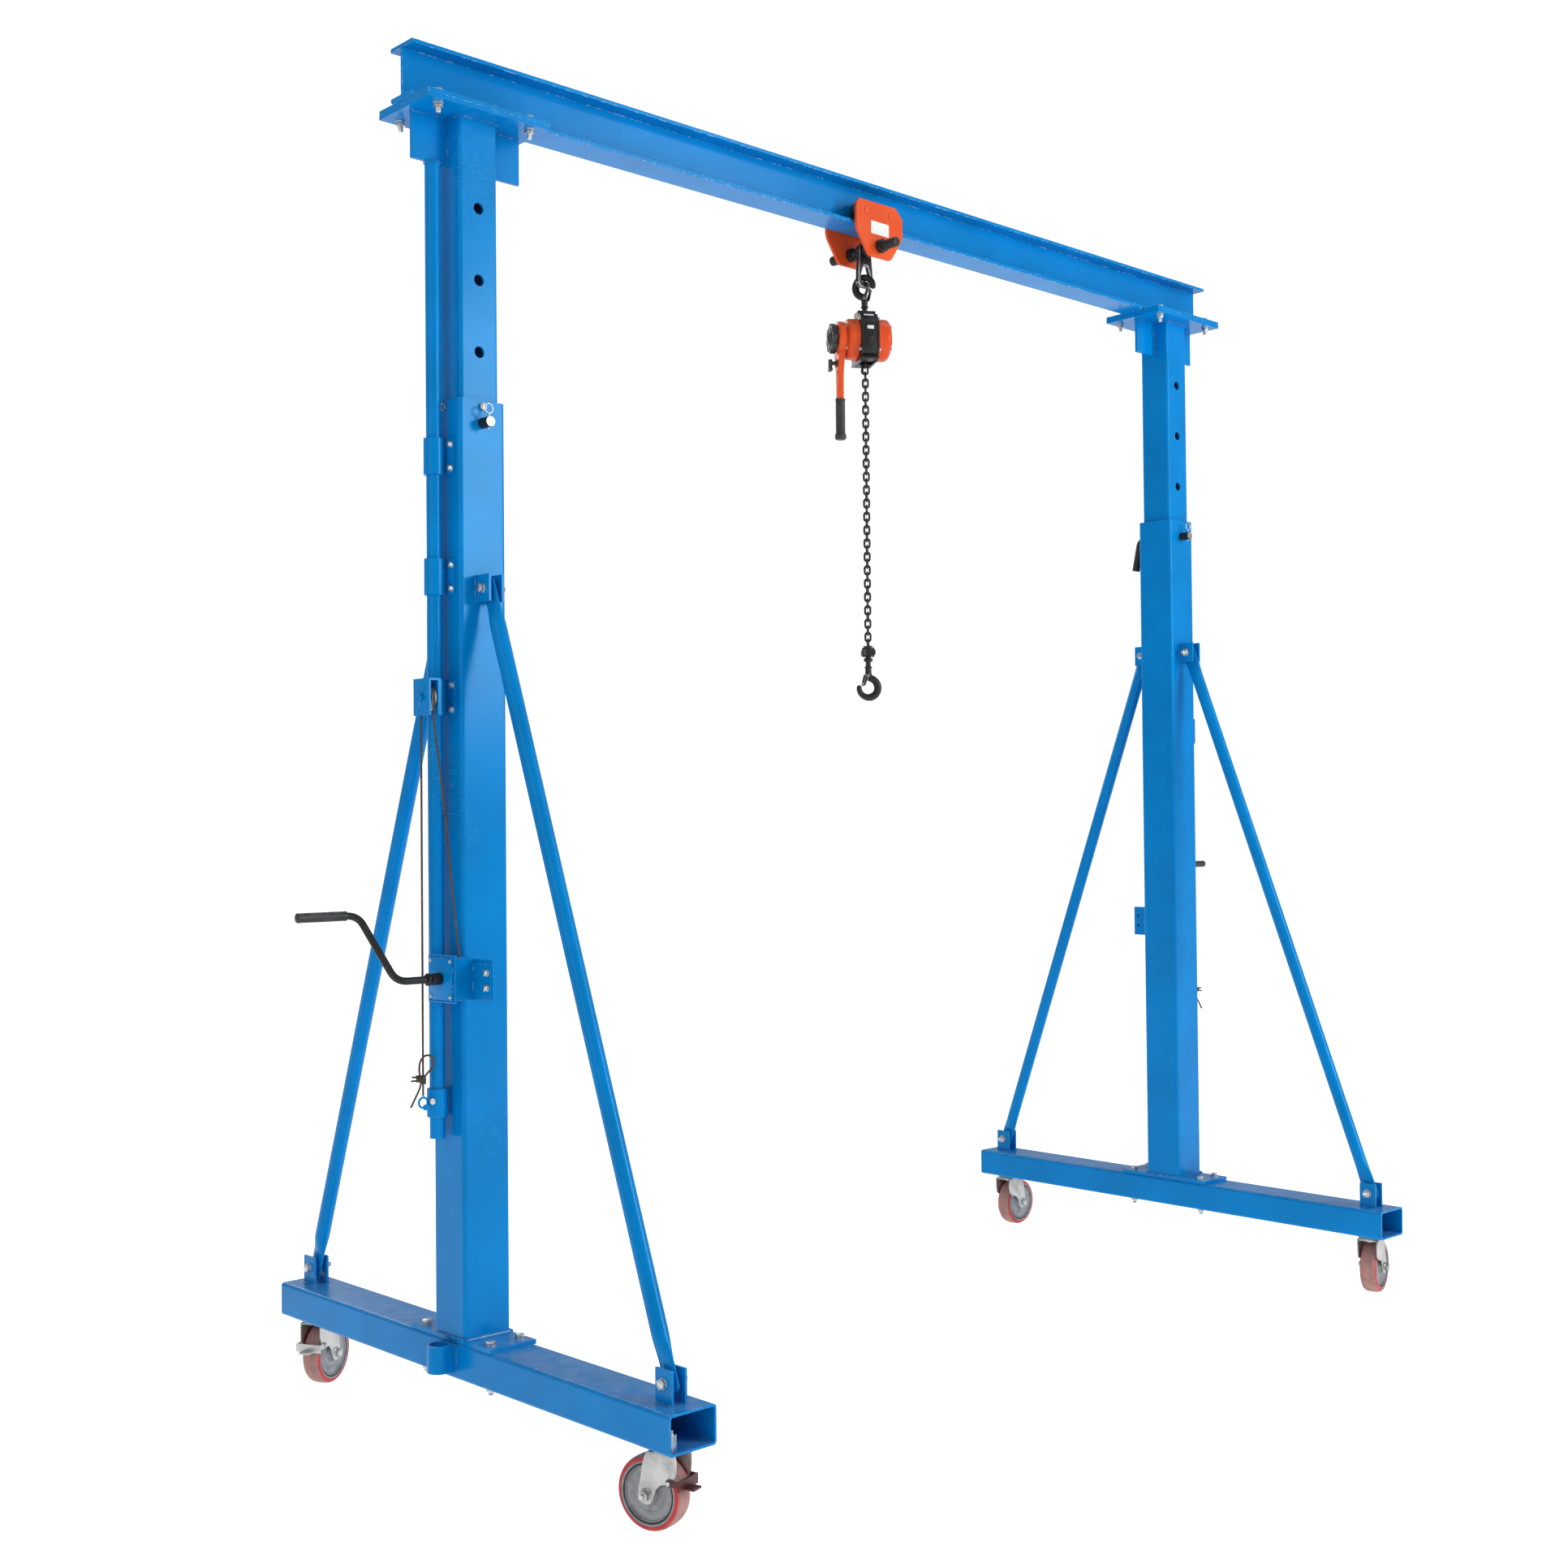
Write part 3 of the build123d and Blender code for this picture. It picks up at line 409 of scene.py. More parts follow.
@dataclass(frozen=True)
class Enamel:
    """A glossy sprayed paint over steel.

    Attributes:
        name: The material's name.
        main: The paint's colour.
        thick: Its colour where the coat is thick.
        rubbed: Its colour where it is rubbed.
        chipping: How much of it has chipped to bare steel, 0 to 1.
        gloss: The coat's weight.
        glint: The tint of its reflections.
    """

    name: str
    main: Colour
    thick: Colour
    rubbed: Colour
    chipping: float = 0.0
    gloss: float = 0.06
    glint: Colour = (1.0, 1.0, 1.0)

    def material(self) -> bpy.types.Material:
        """Builds the material."""
        g = Graph(self.name)
        spray = g.shared(SPRAY, 6.0)
        marks = g.shared(SCUFF, 5.0)
        dust = g.shared(DUST, 9.0)
        colour = g.blend(g.span(spray.outputs["Cloud"], (0.3, 0.7), (0.0, 1.0)), self.main, self.thick)
        colour = g.blend(g.span(marks.outputs["Rub"], (0.0, 1.0), (0.0, 0.34)), colour, self.rubbed)
        colour = g.blend(g.span(marks.outputs["Scratch"], (0.0, 1.0), (0.0, 0.3)), colour, self.rubbed)
        colour = g.blend(g.span(dust.outputs["Dust"], (0.0, 1.0), (0.0, 0.14)), colour, (0.62, 0.62, 0.6))
        if self.chipping:
            bare = g.span(marks.outputs["Chip"], (0.0, 1.0), (0.0, self.chipping))
            colour = g.blend(bare, colour, (0.6, 0.66, 0.7))
        rough = g.span(marks.outputs["Rub"], (0.0, 0.6), (0.2, 0.5))
        normal = g.bump(spray.outputs["Run"], 0.09, 0.004)
        normal = g.bump(spray.outputs["Peel"], 0.12, 0.0009, normal)
        g.shader.inputs["Coat Weight"].default_value = self.gloss
        g.shader.inputs["Coat Roughness"].default_value = 0.12
        g.shader.inputs["Specular IOR Level"].default_value = 0.18
        g.shader.inputs["Specular Tint"].default_value = (*self.glint, 1.0)
        return g.finish(colour, rough, normal)


@dataclass(frozen=True)
class Plated:
    """Plated, machined or blackened steel.

    Attributes:
        name: The material's name.
        main: Its colour.
        dull: Its colour where it has dulled.
        worn: Its colour where it is rubbed bright.
        metallic: The shader's metallic value.
        rough: Roughness, bright to dull.
        scale: The size of its pattern.
        relief: Depth of its surface in metres.
    """

    name: str
    main: Colour
    dull: Colour
    worn: Colour
    metallic: float = 1.0
    rough: Pair = (0.25, 0.45)
    scale: float = 30.0
    relief: float = 0.0004

    def material(self) -> bpy.types.Material:
        """Builds the material."""
        g = Graph(self.name)
        metal = g.shared(METAL, self.scale)
        marks = g.shared(SCUFF, self.scale * 0.4)
        colour = g.ramp(metal.outputs["Spangle"], ((0.32, self.dull), (0.52, self.main), (0.72, self.dull)))
        colour = g.blend(g.span(marks.outputs["Rub"], (0.0, 1.0), (0.0, 0.8)), colour, self.worn)
        rough = g.span(metal.outputs["Spangle"], (0.3, 0.7), self.rough)
        normal = g.bump(metal.outputs["Lines"], 0.12, self.relief)
        normal = g.bump(metal.outputs["Pits"], 0.3, self.relief, normal)
        g.shader.inputs["Metallic"].default_value = self.metallic
        return g.finish(colour, rough, normal)


@dataclass(frozen=True)
class Moulded:
    """Moulded plastic, rubber or polyurethane.

    Attributes:
        name: The material's name.
        main: Its colour.
        aged: Its colour where it is dirty or bleached.
        rough: Roughness, low to high.
        grain: The size of its texture.
        relief: Depth of its texture in metres.
    """

    name: str
    main: Colour
    aged: Colour
    rough: Pair = (0.4, 0.62)
    grain: float = 40.0
    relief: float = 0.0006

    def material(self) -> bpy.types.Material:
        """Builds the material."""
        g = Graph(self.name)
        spray = g.shared(SPRAY, self.grain)
        dust = g.shared(DUST, 20.0)
        colour = g.blend(g.span(spray.outputs["Cloud"], (0.4, 0.75), (0.0, 1.0)), self.main, self.aged)
        colour = g.blend(g.span(dust.outputs["Dust"], (0.0, 1.0), (0.0, 0.2)), colour, (0.5, 0.49, 0.47))
        rough = g.span(spray.outputs["Cloud"], (0.3, 0.7), self.rough)
        normal = g.bump(spray.outputs["Run"], 0.3, self.relief)
        normal = g.bump(spray.outputs["Peel"], 0.2, self.relief * 0.3, normal)
        return g.finish(colour, rough, normal)


class Finishes:
    """Every finish on the crane, made once."""

    def __init__(self) -> None:
        """Makes the materials."""
        blue, deep, pale = (0.0, 0.225, 0.61), (0.0, 0.185, 0.5), (0.08, 0.36, 0.66)
        sky = (0.28, 0.75, 1.0)
        orange, rust, peach = (0.8, 0.105, 0.022), (0.66, 0.07, 0.014), (0.9, 0.42, 0.26)
        self.blue = Enamel("blue_enamel", blue, deep, pale, glint=sky).material()
        self.blue_edge = Enamel("blue_enamel_edge", blue, deep, pale, 0.6, glint=sky).material()
        self.weld = Enamel("painted_weld", (0.0, 0.19, 0.52), (0.0, 0.13, 0.38), pale, 0.12, 0.2,
                           sky).material()
        self.orange = Enamel("orange_enamel", orange, rust, peach).material()
        self.orange_edge = Enamel("orange_enamel_edge", orange, rust, peach, 0.7).material()
        self.zinc = Plated("zinc_plate", (0.66, 0.67, 0.67), (0.5, 0.51, 0.5), (0.82, 0.82, 0.8)).material()
        self.fork = Plated("caster_plate", (0.6, 0.6, 0.58), (0.42, 0.42, 0.4), (0.78, 0.78, 0.76),
                           rough=(0.28, 0.5), scale=22.0).material()
        self.black = Plated("black_oxide", (0.022, 0.022, 0.024), (0.034, 0.032, 0.03), (0.16, 0.15, 0.14),
                            0.55, (0.3, 0.5), 26.0).material()
        self.cut = Plated("cut_steel", (0.4, 0.4, 0.39), (0.27, 0.26, 0.25), (0.6, 0.59, 0.57),
                          0.9, (0.3, 0.5), 40.0).material()
        self.core = Plated("caster_core", (0.33, 0.34, 0.35), (0.2, 0.2, 0.21), (0.5, 0.5, 0.5),
                           0.35, (0.45, 0.65), 24.0, 0.0009).material()
        self.iron = Plated("machined_iron", (0.1, 0.1, 0.105), (0.05, 0.05, 0.052), (0.3, 0.3, 0.3),
                           0.8, (0.3, 0.5), 30.0).material()
        self.rope = Plated("wire_rope", (0.13, 0.095, 0.075), (0.045, 0.036, 0.032), (0.38, 0.33, 0.29),
                           0.75, (0.35, 0.55), 160.0).material()
        self.tread = Moulded("polyurethane_tread", (0.42, 0.2, 0.17), (0.27, 0.15, 0.13)).material()
        self.tyre = Moulded("polyurethane_side", (0.56, 0.03, 0.035), (0.4, 0.03, 0.03)).material()
        self.grip = Moulded("black_grip", (0.017, 0.017, 0.018), (0.04, 0.04, 0.04), (0.38, 0.55)).material()
        self.label = Moulded("blank_label", (0.82, 0.82, 0.8), (0.7, 0.7, 0.68), (0.25, 0.4)).material()
        self.seal = Moulded("dark_seal", (0.03, 0.03, 0.032), (0.07, 0.065, 0.06), (0.5, 0.7)).material()
        # Very dark red for the left front pedal: painted shade, a red pedal darkened as if it sat in shadow.
        self.pedal = Moulded("pedal_dark_red", (0.085, 0.009, 0.01), (0.045, 0.008, 0.008),
                             (0.35, 0.5)).material()


# ---- mesh bench ----
Finish = bpy.types.Material


def basis(origin: Vector, direction: Vector) -> Matrix:
    """A matrix at origin whose Z looks along direction."""
    return Matrix.Translation(origin) @ direction.to_track_quat("Z", "Y").to_matrix().to_4x4()


def headed(spot: Sequence[float], degrees: float) -> Matrix:
    """A matrix at spot, turned about Z."""
    return Matrix.Translation(spot) @ Matrix.Rotation(math.radians(degrees), 4, "Z")


def across_x(x: float) -> Matrix:
    """The plane across the X axis at x, with its own X along Y and its Y up."""
    return Matrix(((0, 0, 1, x), (1, 0, 0, 0), (0, 1, 0, 0), (0, 0, 0, 1)))


def angles(steps: int, count: int) -> list[float]:
    """The first count angles of a circle that is cut into steps."""
    return [k * FULL_TURN / steps for k in range(count)]


class Bench:
    """One bmesh piece in the making: shapes are added with an optional material index."""

    def __init__(self, place: Matrix | None = None) -> None:
        """Starts empty.

        Args:
            place: Carries everything added to its place in the frame.
        """
        self.bm = bmesh.new()
        self.place = place or Matrix.Identity(4)

    def take(self, part: bmesh.types.BMesh, material: int) -> None:
        """Joins one finished shape to the piece.

        Args:
            part: The shape, which is freed.
            material: Material index.
        """
        for face in part.faces:
            face.material_index = material
        mesh = bpy.data.meshes.new("shape")
        part.to_mesh(mesh)
        part.free()
        self.bm.from_mesh(mesh)
        bpy.data.meshes.remove(mesh)

    def bevel(self, part: bmesh.types.BMesh, size: float, angle: float = 0.6, steps: int = 2) -> None:
        """Rounds a shape's sharp edges.

        Args:
            part: The shape.
            size: The bevel's width.
            angle: The least angle of an edge that is rounded.
            steps: Segments.
        """
        sharp = [e for e in part.edges if len(e.link_faces) == 2 and e.calc_face_angle(0) > angle]
        if sharp and size:
            bmesh.ops.bevel(part, geom=sharp, offset=size, affect="EDGES", segments=steps,
                            profile=0.5, material=-1, clamp_overlap=True)

    def box(self, low: Point, high: Point, bevel: float = 0.001, material: int = 0) -> None:
        """Adds a block with rounded edges.

        Args:
            low: Its lowest corner.
            high: Its highest corner.
            bevel: The rounding.
            material: Material index.
        """
        part = bmesh.new()
        size = [h - l for l, h in zip(low, high)]
        middle = Vector([(h + l) / 2 for l, h in zip(low, high)])
        bmesh.ops.create_cube(part, size=1, matrix=Matrix.Translation(middle) @ Matrix.Diagonal((*size, 1)))
        self.bevel(part, bevel)
        self.take(part, material)

    def plate(self, outline: Sequence[Pair], thick: float, where: Matrix, bevel: float = 0.001,
              material: int = 0) -> None:
        """Adds a flat plate, half its thickness each side of where's XY plane.

        Args:
            outline: Its corners.
            thick: Its thickness.
            where: The plane.
            bevel: Edge rounding.
            material: Material index.
        """
        part = bmesh.new()
        face = part.faces.new([part.verts.new((x, y, -thick / 2)) for x, y in outline])
        pushed = bmesh.ops.extrude_face_region(part, geom=[face])["geom"]
        lifted = [v for v in pushed if isinstance(v, bmesh.types.BMVert)]
        bmesh.ops.translate(part, vec=(0, 0, thick), verts=lifted)
        bmesh.ops.recalc_face_normals(part, faces=part.faces)
        bmesh.ops.transform(part, matrix=where, verts=part.verts)
        self.bevel(part, bevel)
        self.take(part, material)

    def turned(self, profile: Sequence[Pair], where: Matrix, steps: int = 48, material: int = 0) -> None:
        """Adds a body of revolution about where's Z.

        Args:
            profile: Radius and height of each point.
            where: The axis.
            steps: Segments round it.
            material: Material index.
        """
        part = bmesh.new()
        verts = [part.verts.new((r, 0, z)) for r, z in profile]
        edges = [part.edges.new(pair) for pair in zip(verts, verts[1:])]
        bmesh.ops.spin(part, geom=verts + edges, cent=(0, 0, 0), axis=(0, 0, 1),
                       angle=FULL_TURN, steps=steps, use_merge=True)
        bmesh.ops.transform(part, matrix=where, verts=part.verts)
        self.take(part, material)

    def hexagon(self, across: float, where: Matrix, low: float, high: float) -> None:
        """Adds a chamfered hexagon.

        Args:
            across: Its width across flats.
            where: Its axis.
            low: Where it starts along the axis.
            high: Where it ends.
        """
        part = bmesh.new()
        corner = across / 2 / math.cos(math.pi / 6)
        shape = where @ Matrix.Translation((0, 0, (low + high) / 2))
        bmesh.ops.create_cone(part, cap_ends=True, cap_tris=False, segments=6, radius1=corner,
                              radius2=corner, depth=high - low, matrix=shape)
        self.bevel(part, across * 0.045)
        self.take(part, 0)

    def tube(self, path: Sequence[Vector], radius: float | Sequence[float], sides: int = 12,
             closed: bool = False, material: int = 0) -> None:
        """Adds a round bar along a path.

        Args:
            path: Its points.
            radius: Its radius, or one for each point.
            sides: Segments round it.
            closed: Whether it closes on itself.
            material: Material index.
        """
        curve = bpy.data.curves.new("bar", "CURVE")
        curve.dimensions = "3D"
        curve.bevel_depth = 1.0
        curve.bevel_resolution = max(0, sides // 2 - 1) // 2 + 1
        curve.use_fill_caps = not closed
        spline = curve.splines.new("POLY")
        spline.points.add(len(path) - 1)
        radii = [radius] * len(path) if isinstance(radius, float) else radius
        for point, spot, size in zip(spline.points, path, radii):
            point.co = (*spot, 1)
            point.radius = size
        spline.use_cyclic_u = closed
        holder = bpy.data.objects.new("bar", curve)
        bpy.context.scene.collection.objects.link(holder)
        bpy.context.view_layer.update()
        mesh = bpy.data.meshes.new_from_object(holder)
        part = bmesh.new()
        part.from_mesh(mesh)
        bpy.data.objects.remove(holder)
        bpy.data.curves.remove(curve)
        bpy.data.meshes.remove(mesh)
        self.take(part, material)

    def piece(self, name: str, body: str, finishes: Sequence[Finish], slot: Slot,
              stands_for: Sequence[str] = (), crease: float = 0.7) -> bpy.types.Object:
        """Turns what was added into an object on a body.

        Args:
            name: The piece's name.
            body: The CAD body it rides on.
            finishes: Its materials.
            slot: The record's slot; not used.
            stands_for: CAD nodes that it replaces.
            crease: Edges sharper than this stay sharp.

        Returns:
            The object.
        """
        bmesh.ops.remove_doubles(self.bm, verts=self.bm.verts, dist=1e-6)
        bmesh.ops.dissolve_degenerate(self.bm, dist=1e-7, edges=self.bm.edges)
        bmesh.ops.recalc_face_normals(self.bm, faces=self.bm.faces)
        bmesh.ops.transform(self.bm, matrix=self.place, verts=self.bm.verts)
        for face in self.bm.faces:
            face.smooth = True
        for edge in self.bm.edges:
            edge.smooth = len(edge.link_faces) == 2 and edge.calc_face_angle(0) < crease
        mesh = bpy.data.meshes.new(name)
        self.bm.to_mesh(mesh)
        self.bm.free()
        made = bpy.data.objects.new(name, mesh)
        bpy.context.scene.collection.objects.link(made)
        for finish in finishes:
            mesh.materials.append(finish)
        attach(made, body)
        if stands_for:
            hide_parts(*stands_for)
        log.info("%s on %s, %d faces", name, body, len(mesh.polygons))
        return made


def dress(node: str, finish: Finish, edge: Finish | None = None, bevel: float = 0.0012,
          angle: float = 0.6) -> None:
    """Gives a carried-over CAD node its finish and rounded edges.

    Args:
        node: The CAD node.
        finish: Its material.
        edge: The material of its rounded edges.
        bevel: The rounding's width.
        angle: The least angle of an edge that is rounded.
    """
    item = frame["nodes"][node]
    item.data.materials.clear()
    item.data.materials.append(finish)
    item.data.materials.append(edge or finish)
    weld = item.modifiers.new("join", "WELD")
    weld.merge_threshold = 1e-5
    if bevel:
        rounding = item.modifiers.new("edges", "BEVEL")
        rounding.width = bevel
        rounding.segments = 2
        rounding.limit_method = "ANGLE"
        rounding.angle_limit = angle
        rounding.material = 1
    shading = item.modifiers.new("shading", "WEIGHTED_NORMAL")
    shading.keep_sharp = False
    log.info("%s dressed in %s", node, finish.name)


def line(start: Point, end: Point, steps: int = 1) -> list[Vector]:
    """Points evenly along a straight run, both ends included."""
    a, b = Vector(start), Vector(end)
    return [a.lerp(b, k / steps) for k in range(steps + 1)]


def weld_bead(bench: Bench, path: Sequence[Vector], size: float = 0.004, material: int = 0) -> None:
    """Adds a rippled fillet weld along a path.

    Args:
        bench: The piece.
        path: The corner that it fills.
        size: Its half width.
        material: Material index.
    """
    points: list[Vector] = []
    for a, b in zip(path, path[1:]):
        steps = max(2, int((b - a).length / 0.0028))
        points += [a.lerp(b, k / steps) for k in range(steps)]
    points.append(path[-1])
    radii = [size * (0.84 + 0.2 * (k % 2) + 0.25 * noise.noise(p * 60)) for k, p in enumerate(points)]
    radii[0] = radii[-1] = size * 0.5
    bench.tube(points, radii, 8, material=material)


def corner_loop(x: float, y: float, z: float, half_x: float, half_y: float) -> list[Vector]:
    """The level rectangle round a post where it is welded to a plate."""
    corners = ((-1, -1), (1, -1), (1, 1), (-1, 1), (-1, -1))
    return [Vector((x + a * half_x, y + b * half_y, z)) for a, b in corners]


@dataclass
class Bolt:
    """A hex bolt with washers, a nut and the thread beyond it.

    Attributes:
        radius: Of the shank.
        across: Head width across flats.
        tail: Length of thread beyond the nut, or 0 for a bolt with no nut.
    """

    radius: float = 0.006
    across: float = 0.019
    tail: float = 0.014

    def add(self, bench: Bench, head: Vector, nut: Vector) -> None:
        """Adds the bolt.

        Args:
            bench: The piece.
            head: Where the head's washer meets the metal.
            nut: Where the nut's washer meets the metal.
        """
        span = (nut - head).length
        where = basis(head, head - nut)
        r, flat = self.radius, self.across
        high = flat * 0.42
        washer = flat * 0.62
        bench.turned(((r * 0.9, 0.0), (washer, 0.0), (washer, 0.0014), (washer - 0.0006, 0.002),
                      (r * 0.9, 0.002)), where, 24)
        bench.hexagon(flat, where, 0.002, 0.002 + high)
        bench.turned(((0.0, 0.002 + high), (flat * 0.36, 0.002 + high), (flat * 0.3, 0.0026 + high),
                      (0.0, 0.0026 + high)), where, 24)
        if not self.tail:
            return
        bench.turned(((r * 0.9, -span), (washer, -span), (washer, -span - 0.0014),
                      (washer - 0.0006, -span - 0.002), (r * 0.9, -span - 0.002)), where, 24)
        bench.hexagon(flat, where, -span - 0.002 - high, -span - 0.002)
        start, end = -span - 0.002 - high, -span - 0.010 - self.tail
        pitch = 0.0018
        thread: list[Pair] = []
        for k in range(int((start - end) / pitch)):
            z = start - k * pitch
            thread += [(r * 0.86, z), (r, z - pitch / 2)]
        bench.turned((*thread, (r * 0.8, end - 0.0008), (0.0, end - 0.0008)), where, 16)


def eased(points: Sequence[Point], radius: float, steps: int = 7) -> list[Vector]:
    """A bent bar's centreline, with its corners rounded.

    Args:
        points: The corners.
        radius: How far from each corner the bend starts.
        steps: Points in each bend.

    Returns:
        The points of the line.
    """
    spots = [Vector(p) for p in points]
    made = [spots[0]]
    for before, corner, after in zip(spots, spots[1:], spots[2:]):
        a = corner + (before - corner).normalized() * radius
        b = corner + (after - corner).normalized() * radius
        for k in range(steps + 1):
            t = k / steps
            made.append(a.lerp(corner, t).lerp(corner.lerp(b, t), t))
    made.append(spots[-1])
    return made


@dataclass
class WireRope:
    """Stranded steel rope that follows a route's smooth curve.

    Attributes:
        diameter: Over its strands.
        strands: How many.
        lay_length: Length of one turn of a strand.
    """

    diameter: float = 0.005
    strands: int = 6
    lay_length: float = 0.034

    def centreline(self, route: Sequence[Point]) -> list[Vector]:
        """The route's smooth curve as points.

        Args:
            route: Its control points.

        Returns:
            Points along it, in order.
        """
        curve = bpy.data.curves.new("route", "CURVE")
        curve.dimensions = "3D"
        spline = curve.splines.new("NURBS")
        spline.points.add(len(route) - 1)
        for point, spot in zip(spline.points, route):
            point.co = (*spot, 1)
        spline.order_u = 3
        spline.use_endpoint_u = True
        spline.resolution_u = 24
        holder = bpy.data.objects.new("route", curve)
        bpy.context.scene.collection.objects.link(holder)
        bpy.context.view_layer.update()
        mesh = bpy.data.meshes.new_from_object(holder)
        points = [v.co.copy() for v in mesh.vertices]
        bpy.data.objects.remove(holder)
        bpy.data.curves.remove(curve)
        bpy.data.meshes.remove(mesh)
        return points

    def even(self, points: Sequence[Vector], gap: float) -> list[Vector]:
        """The same line with points a steady distance apart."""
        made, carried = [points[0].copy()], 0.0
        for a, b in zip(points, points[1:]):
            run = (b - a).length
            spot = gap - carried
            while spot < run:
                made.append(a.lerp(b, spot / run))
                spot += gap
            carried = run - (spot - gap)
        if (made[-1] - points[-1]).length > gap * 0.3:
            made.append(points[-1].copy())
        return made

    def lay(self, bench: Bench, route: Sequence[Point]) -> list[Vector]:
        """Adds the rope's core and strands.

        Args:
            bench: The piece.
            route: The control points.

        Returns:
            The centreline.
        """
        centre = self.even(self.centreline(route), self.lay_length / 9)
        strand = self.diameter * 0.19
        ring = self.diameter / 2 - strand
        bench.tube(centre, ring * 0.9, 6)
        up = Vector((1, 0.2, 0.1))
        frames: list[tuple[Vector, Vector]] = []
        for k in range(len(centre)):
            along = (centre[min(k + 1, len(centre) - 1)] - centre[max(k - 1, 0)]).normalized()
            up = (up - along * up.dot(along)).normalized()
            frames.append((up.copy(), along.cross(up)))
        for s in range(self.strands):
            path = []
            for k, (point, (u, v)) in enumerate(zip(centre, frames)):
                angle = FULL_TURN * (s / self.strands + k / 9)
                path.append(point + (u * math.cos(angle) + v * math.sin(angle)) * ring)
            bench.tube(path, strand, 6)
        return centre


@dataclass
class Leg:
    """One leg: base beam, column, braces, guides, winch, ropes and lock pin."""

    side: Side
    finishes: Finishes
    crank_angle: float
    face_x: float = -1.375
    pulley: Point = (-1.441, -0.028, 1.657)
    winch: Point = (-1.41, -0.07, 1.051)
    brace_foot: Pair = (0.685, 0.292)
    brace_head: Pair = (0.084, 1.899)
    guide_heights: tuple[float, ...] = (2.19, 1.925, 1.66)
    set_screw_height: float = 2.304
    pin_height: float = 2.267
    collar_height: float = 0.781
    knot_height: float = 0.83

    @property
    def body(self) -> str:
        """The leg's body."""
        return f"{self.side.word}_leg"

    def bench(self) -> Bench:
        """A bench whose work is turned to this leg."""
        return Bench(self.side.turn)

    def node(self, name: str) -> str:
        """This leg's node of that name."""
        return f"{self.side.word}_{name}"

    def build(self) -> None:
        """Builds and dresses the whole leg."""
        f = self.finishes
        for name in ("base_beam", "column", "tube_guides"):
            dress(self.node(name), f.blue, f.blue_edge)
        dress(self.node("winch_housing"), f.blue, f.blue_edge, 0.0022)
        dress(self.node("caster_stems"), f.zinc)
        dress(self.node("lock_pin"), f.black, f.cut, 0.0016)
        self.braces()
        self.fasteners()
        self.welds()
        self.winch_parts()
        self.rope_pulley()
        self.ropes()
        self.pin_clip()
        self.pin_end()
        self.collar_screw()
        self.pulley_washers()

    def braces(self) -> None:
        """Round braces whose ends are pressed flat for their bolts."""
        bench = self.bench()
        for way in (-1, 1):
            top = Vector((-LEG_X, way * self.brace_head[0], self.brace_head[1]))
            foot = Vector((-LEG_X, way * self.brace_foot[0], self.brace_foot[1]))
            self.brace(bench, top, foot)
        bench.piece(self.node("pressed_braces"), self.body, [self.finishes.blue, self.finishes.blue_edge],
                    Slot.BLUE, [self.node("braces")], 0.9)

    def brace(self, bench: Bench, top: Vector, foot: Vector) -> None:
        """Adds one brace as a round tube that eases into a flat paddle at each end.

        Args:
            bench: The piece.
            top: The upper bolt's centre.
            foot: The lower bolt's centre.
        """
        along = (foot - top).normalized()
        across = Vector((1, 0, 0)).cross(along)
        length = (foot - top).length
        # Distance from the end, half thickness along X, half width.
        shape = ((-0.020, 0.0052, 0.010), (-0.0185, 0.006, 0.017), (-0.012, 0.006, 0.0215),
                 (0.0, 0.006, 0.0225), (0.030, 0.006, 0.0225), (0.045, 0.0075, 0.0222),
                 (0.060, 0.0118, 0.0208), (0.075, 0.016, 0.0188), (0.088, 0.018, 0.018))
        stations = [(d, x, w) for d, x, w in shape]
        stations += [(length - d, x, w) for d, x, w in reversed(shape)]
        bm = bench.bm
        previous: list[bmesh.types.BMEdge] = []
        for k, (d, thick, wide) in enumerate(stations):
            ends = k in (0, len(stations) - 1)
            turn = Matrix((Vector((1, 0, 0)), across, along)).transposed().to_4x4()
            place = Matrix.Translation(top + along * d) @ turn @ Matrix.Diagonal((thick, wide, 1, 1))
            ring = bmesh.ops.create_circle(bm, cap_ends=ends, cap_tris=False, segments=28, radius=1,
                                           matrix=place)["verts"]
            edges = list({e for v in ring for e in v.link_edges})
            if previous:
                bmesh.ops.bridge_loops(bm, edges=previous + edges)
            previous = edges

    def fasteners(self) -> None:
        """Every bolt of the leg."""
        bench = self.bench()
        brace, foot = Bolt(tail=0.008), Bolt(tail=0.006)
        for way in (-1, 1):
            for y, z in (self.brace_foot, self.brace_head):
                spot = Vector((-LEG_X, way * y, z))
                brace.add(bench, spot - Vector((0.02, 0, 0)), spot + Vector((0.02, 0, 0)))
            for sx in (-1, 1):
                x, y = -LEG_X + sx * 0.038, way * 0.125
                foot.add(bench, Vector((x, y, 0.262)), Vector((x, y, 0.172)))
        screw, cap = Bolt(0.004, 0.013, 0.0), Bolt(0.005, 0.0165, 0.0)
        z = self.set_screw_height
        cap.add(bench, Vector((-LEG_X, -0.0575, z)), Vector((-LEG_X, -0.05, z)))
        cap.add(bench, Vector((-1.3725, 0, z)), Vector((-1.36, 0, z)))
        for z in self.guide_heights:
            for y in (-0.033, 0.033):
                for dz in (-0.026, 0.026):
                    screw.add(bench, Vector((self.face_x - 0.006, y, z + dz)),
                              Vector((self.face_x, y, z + dz)))
        for z in (1.033, 1.065):
            screw.add(bench, Vector((self.face_x - 0.0112, -0.168, z)), Vector((self.face_x, -0.168, z)))
        bench.piece(self.node("leg_bolts"), self.body, [self.finishes.zinc], Slot.ZINC,
                    [self.node("leg_fasteners")])

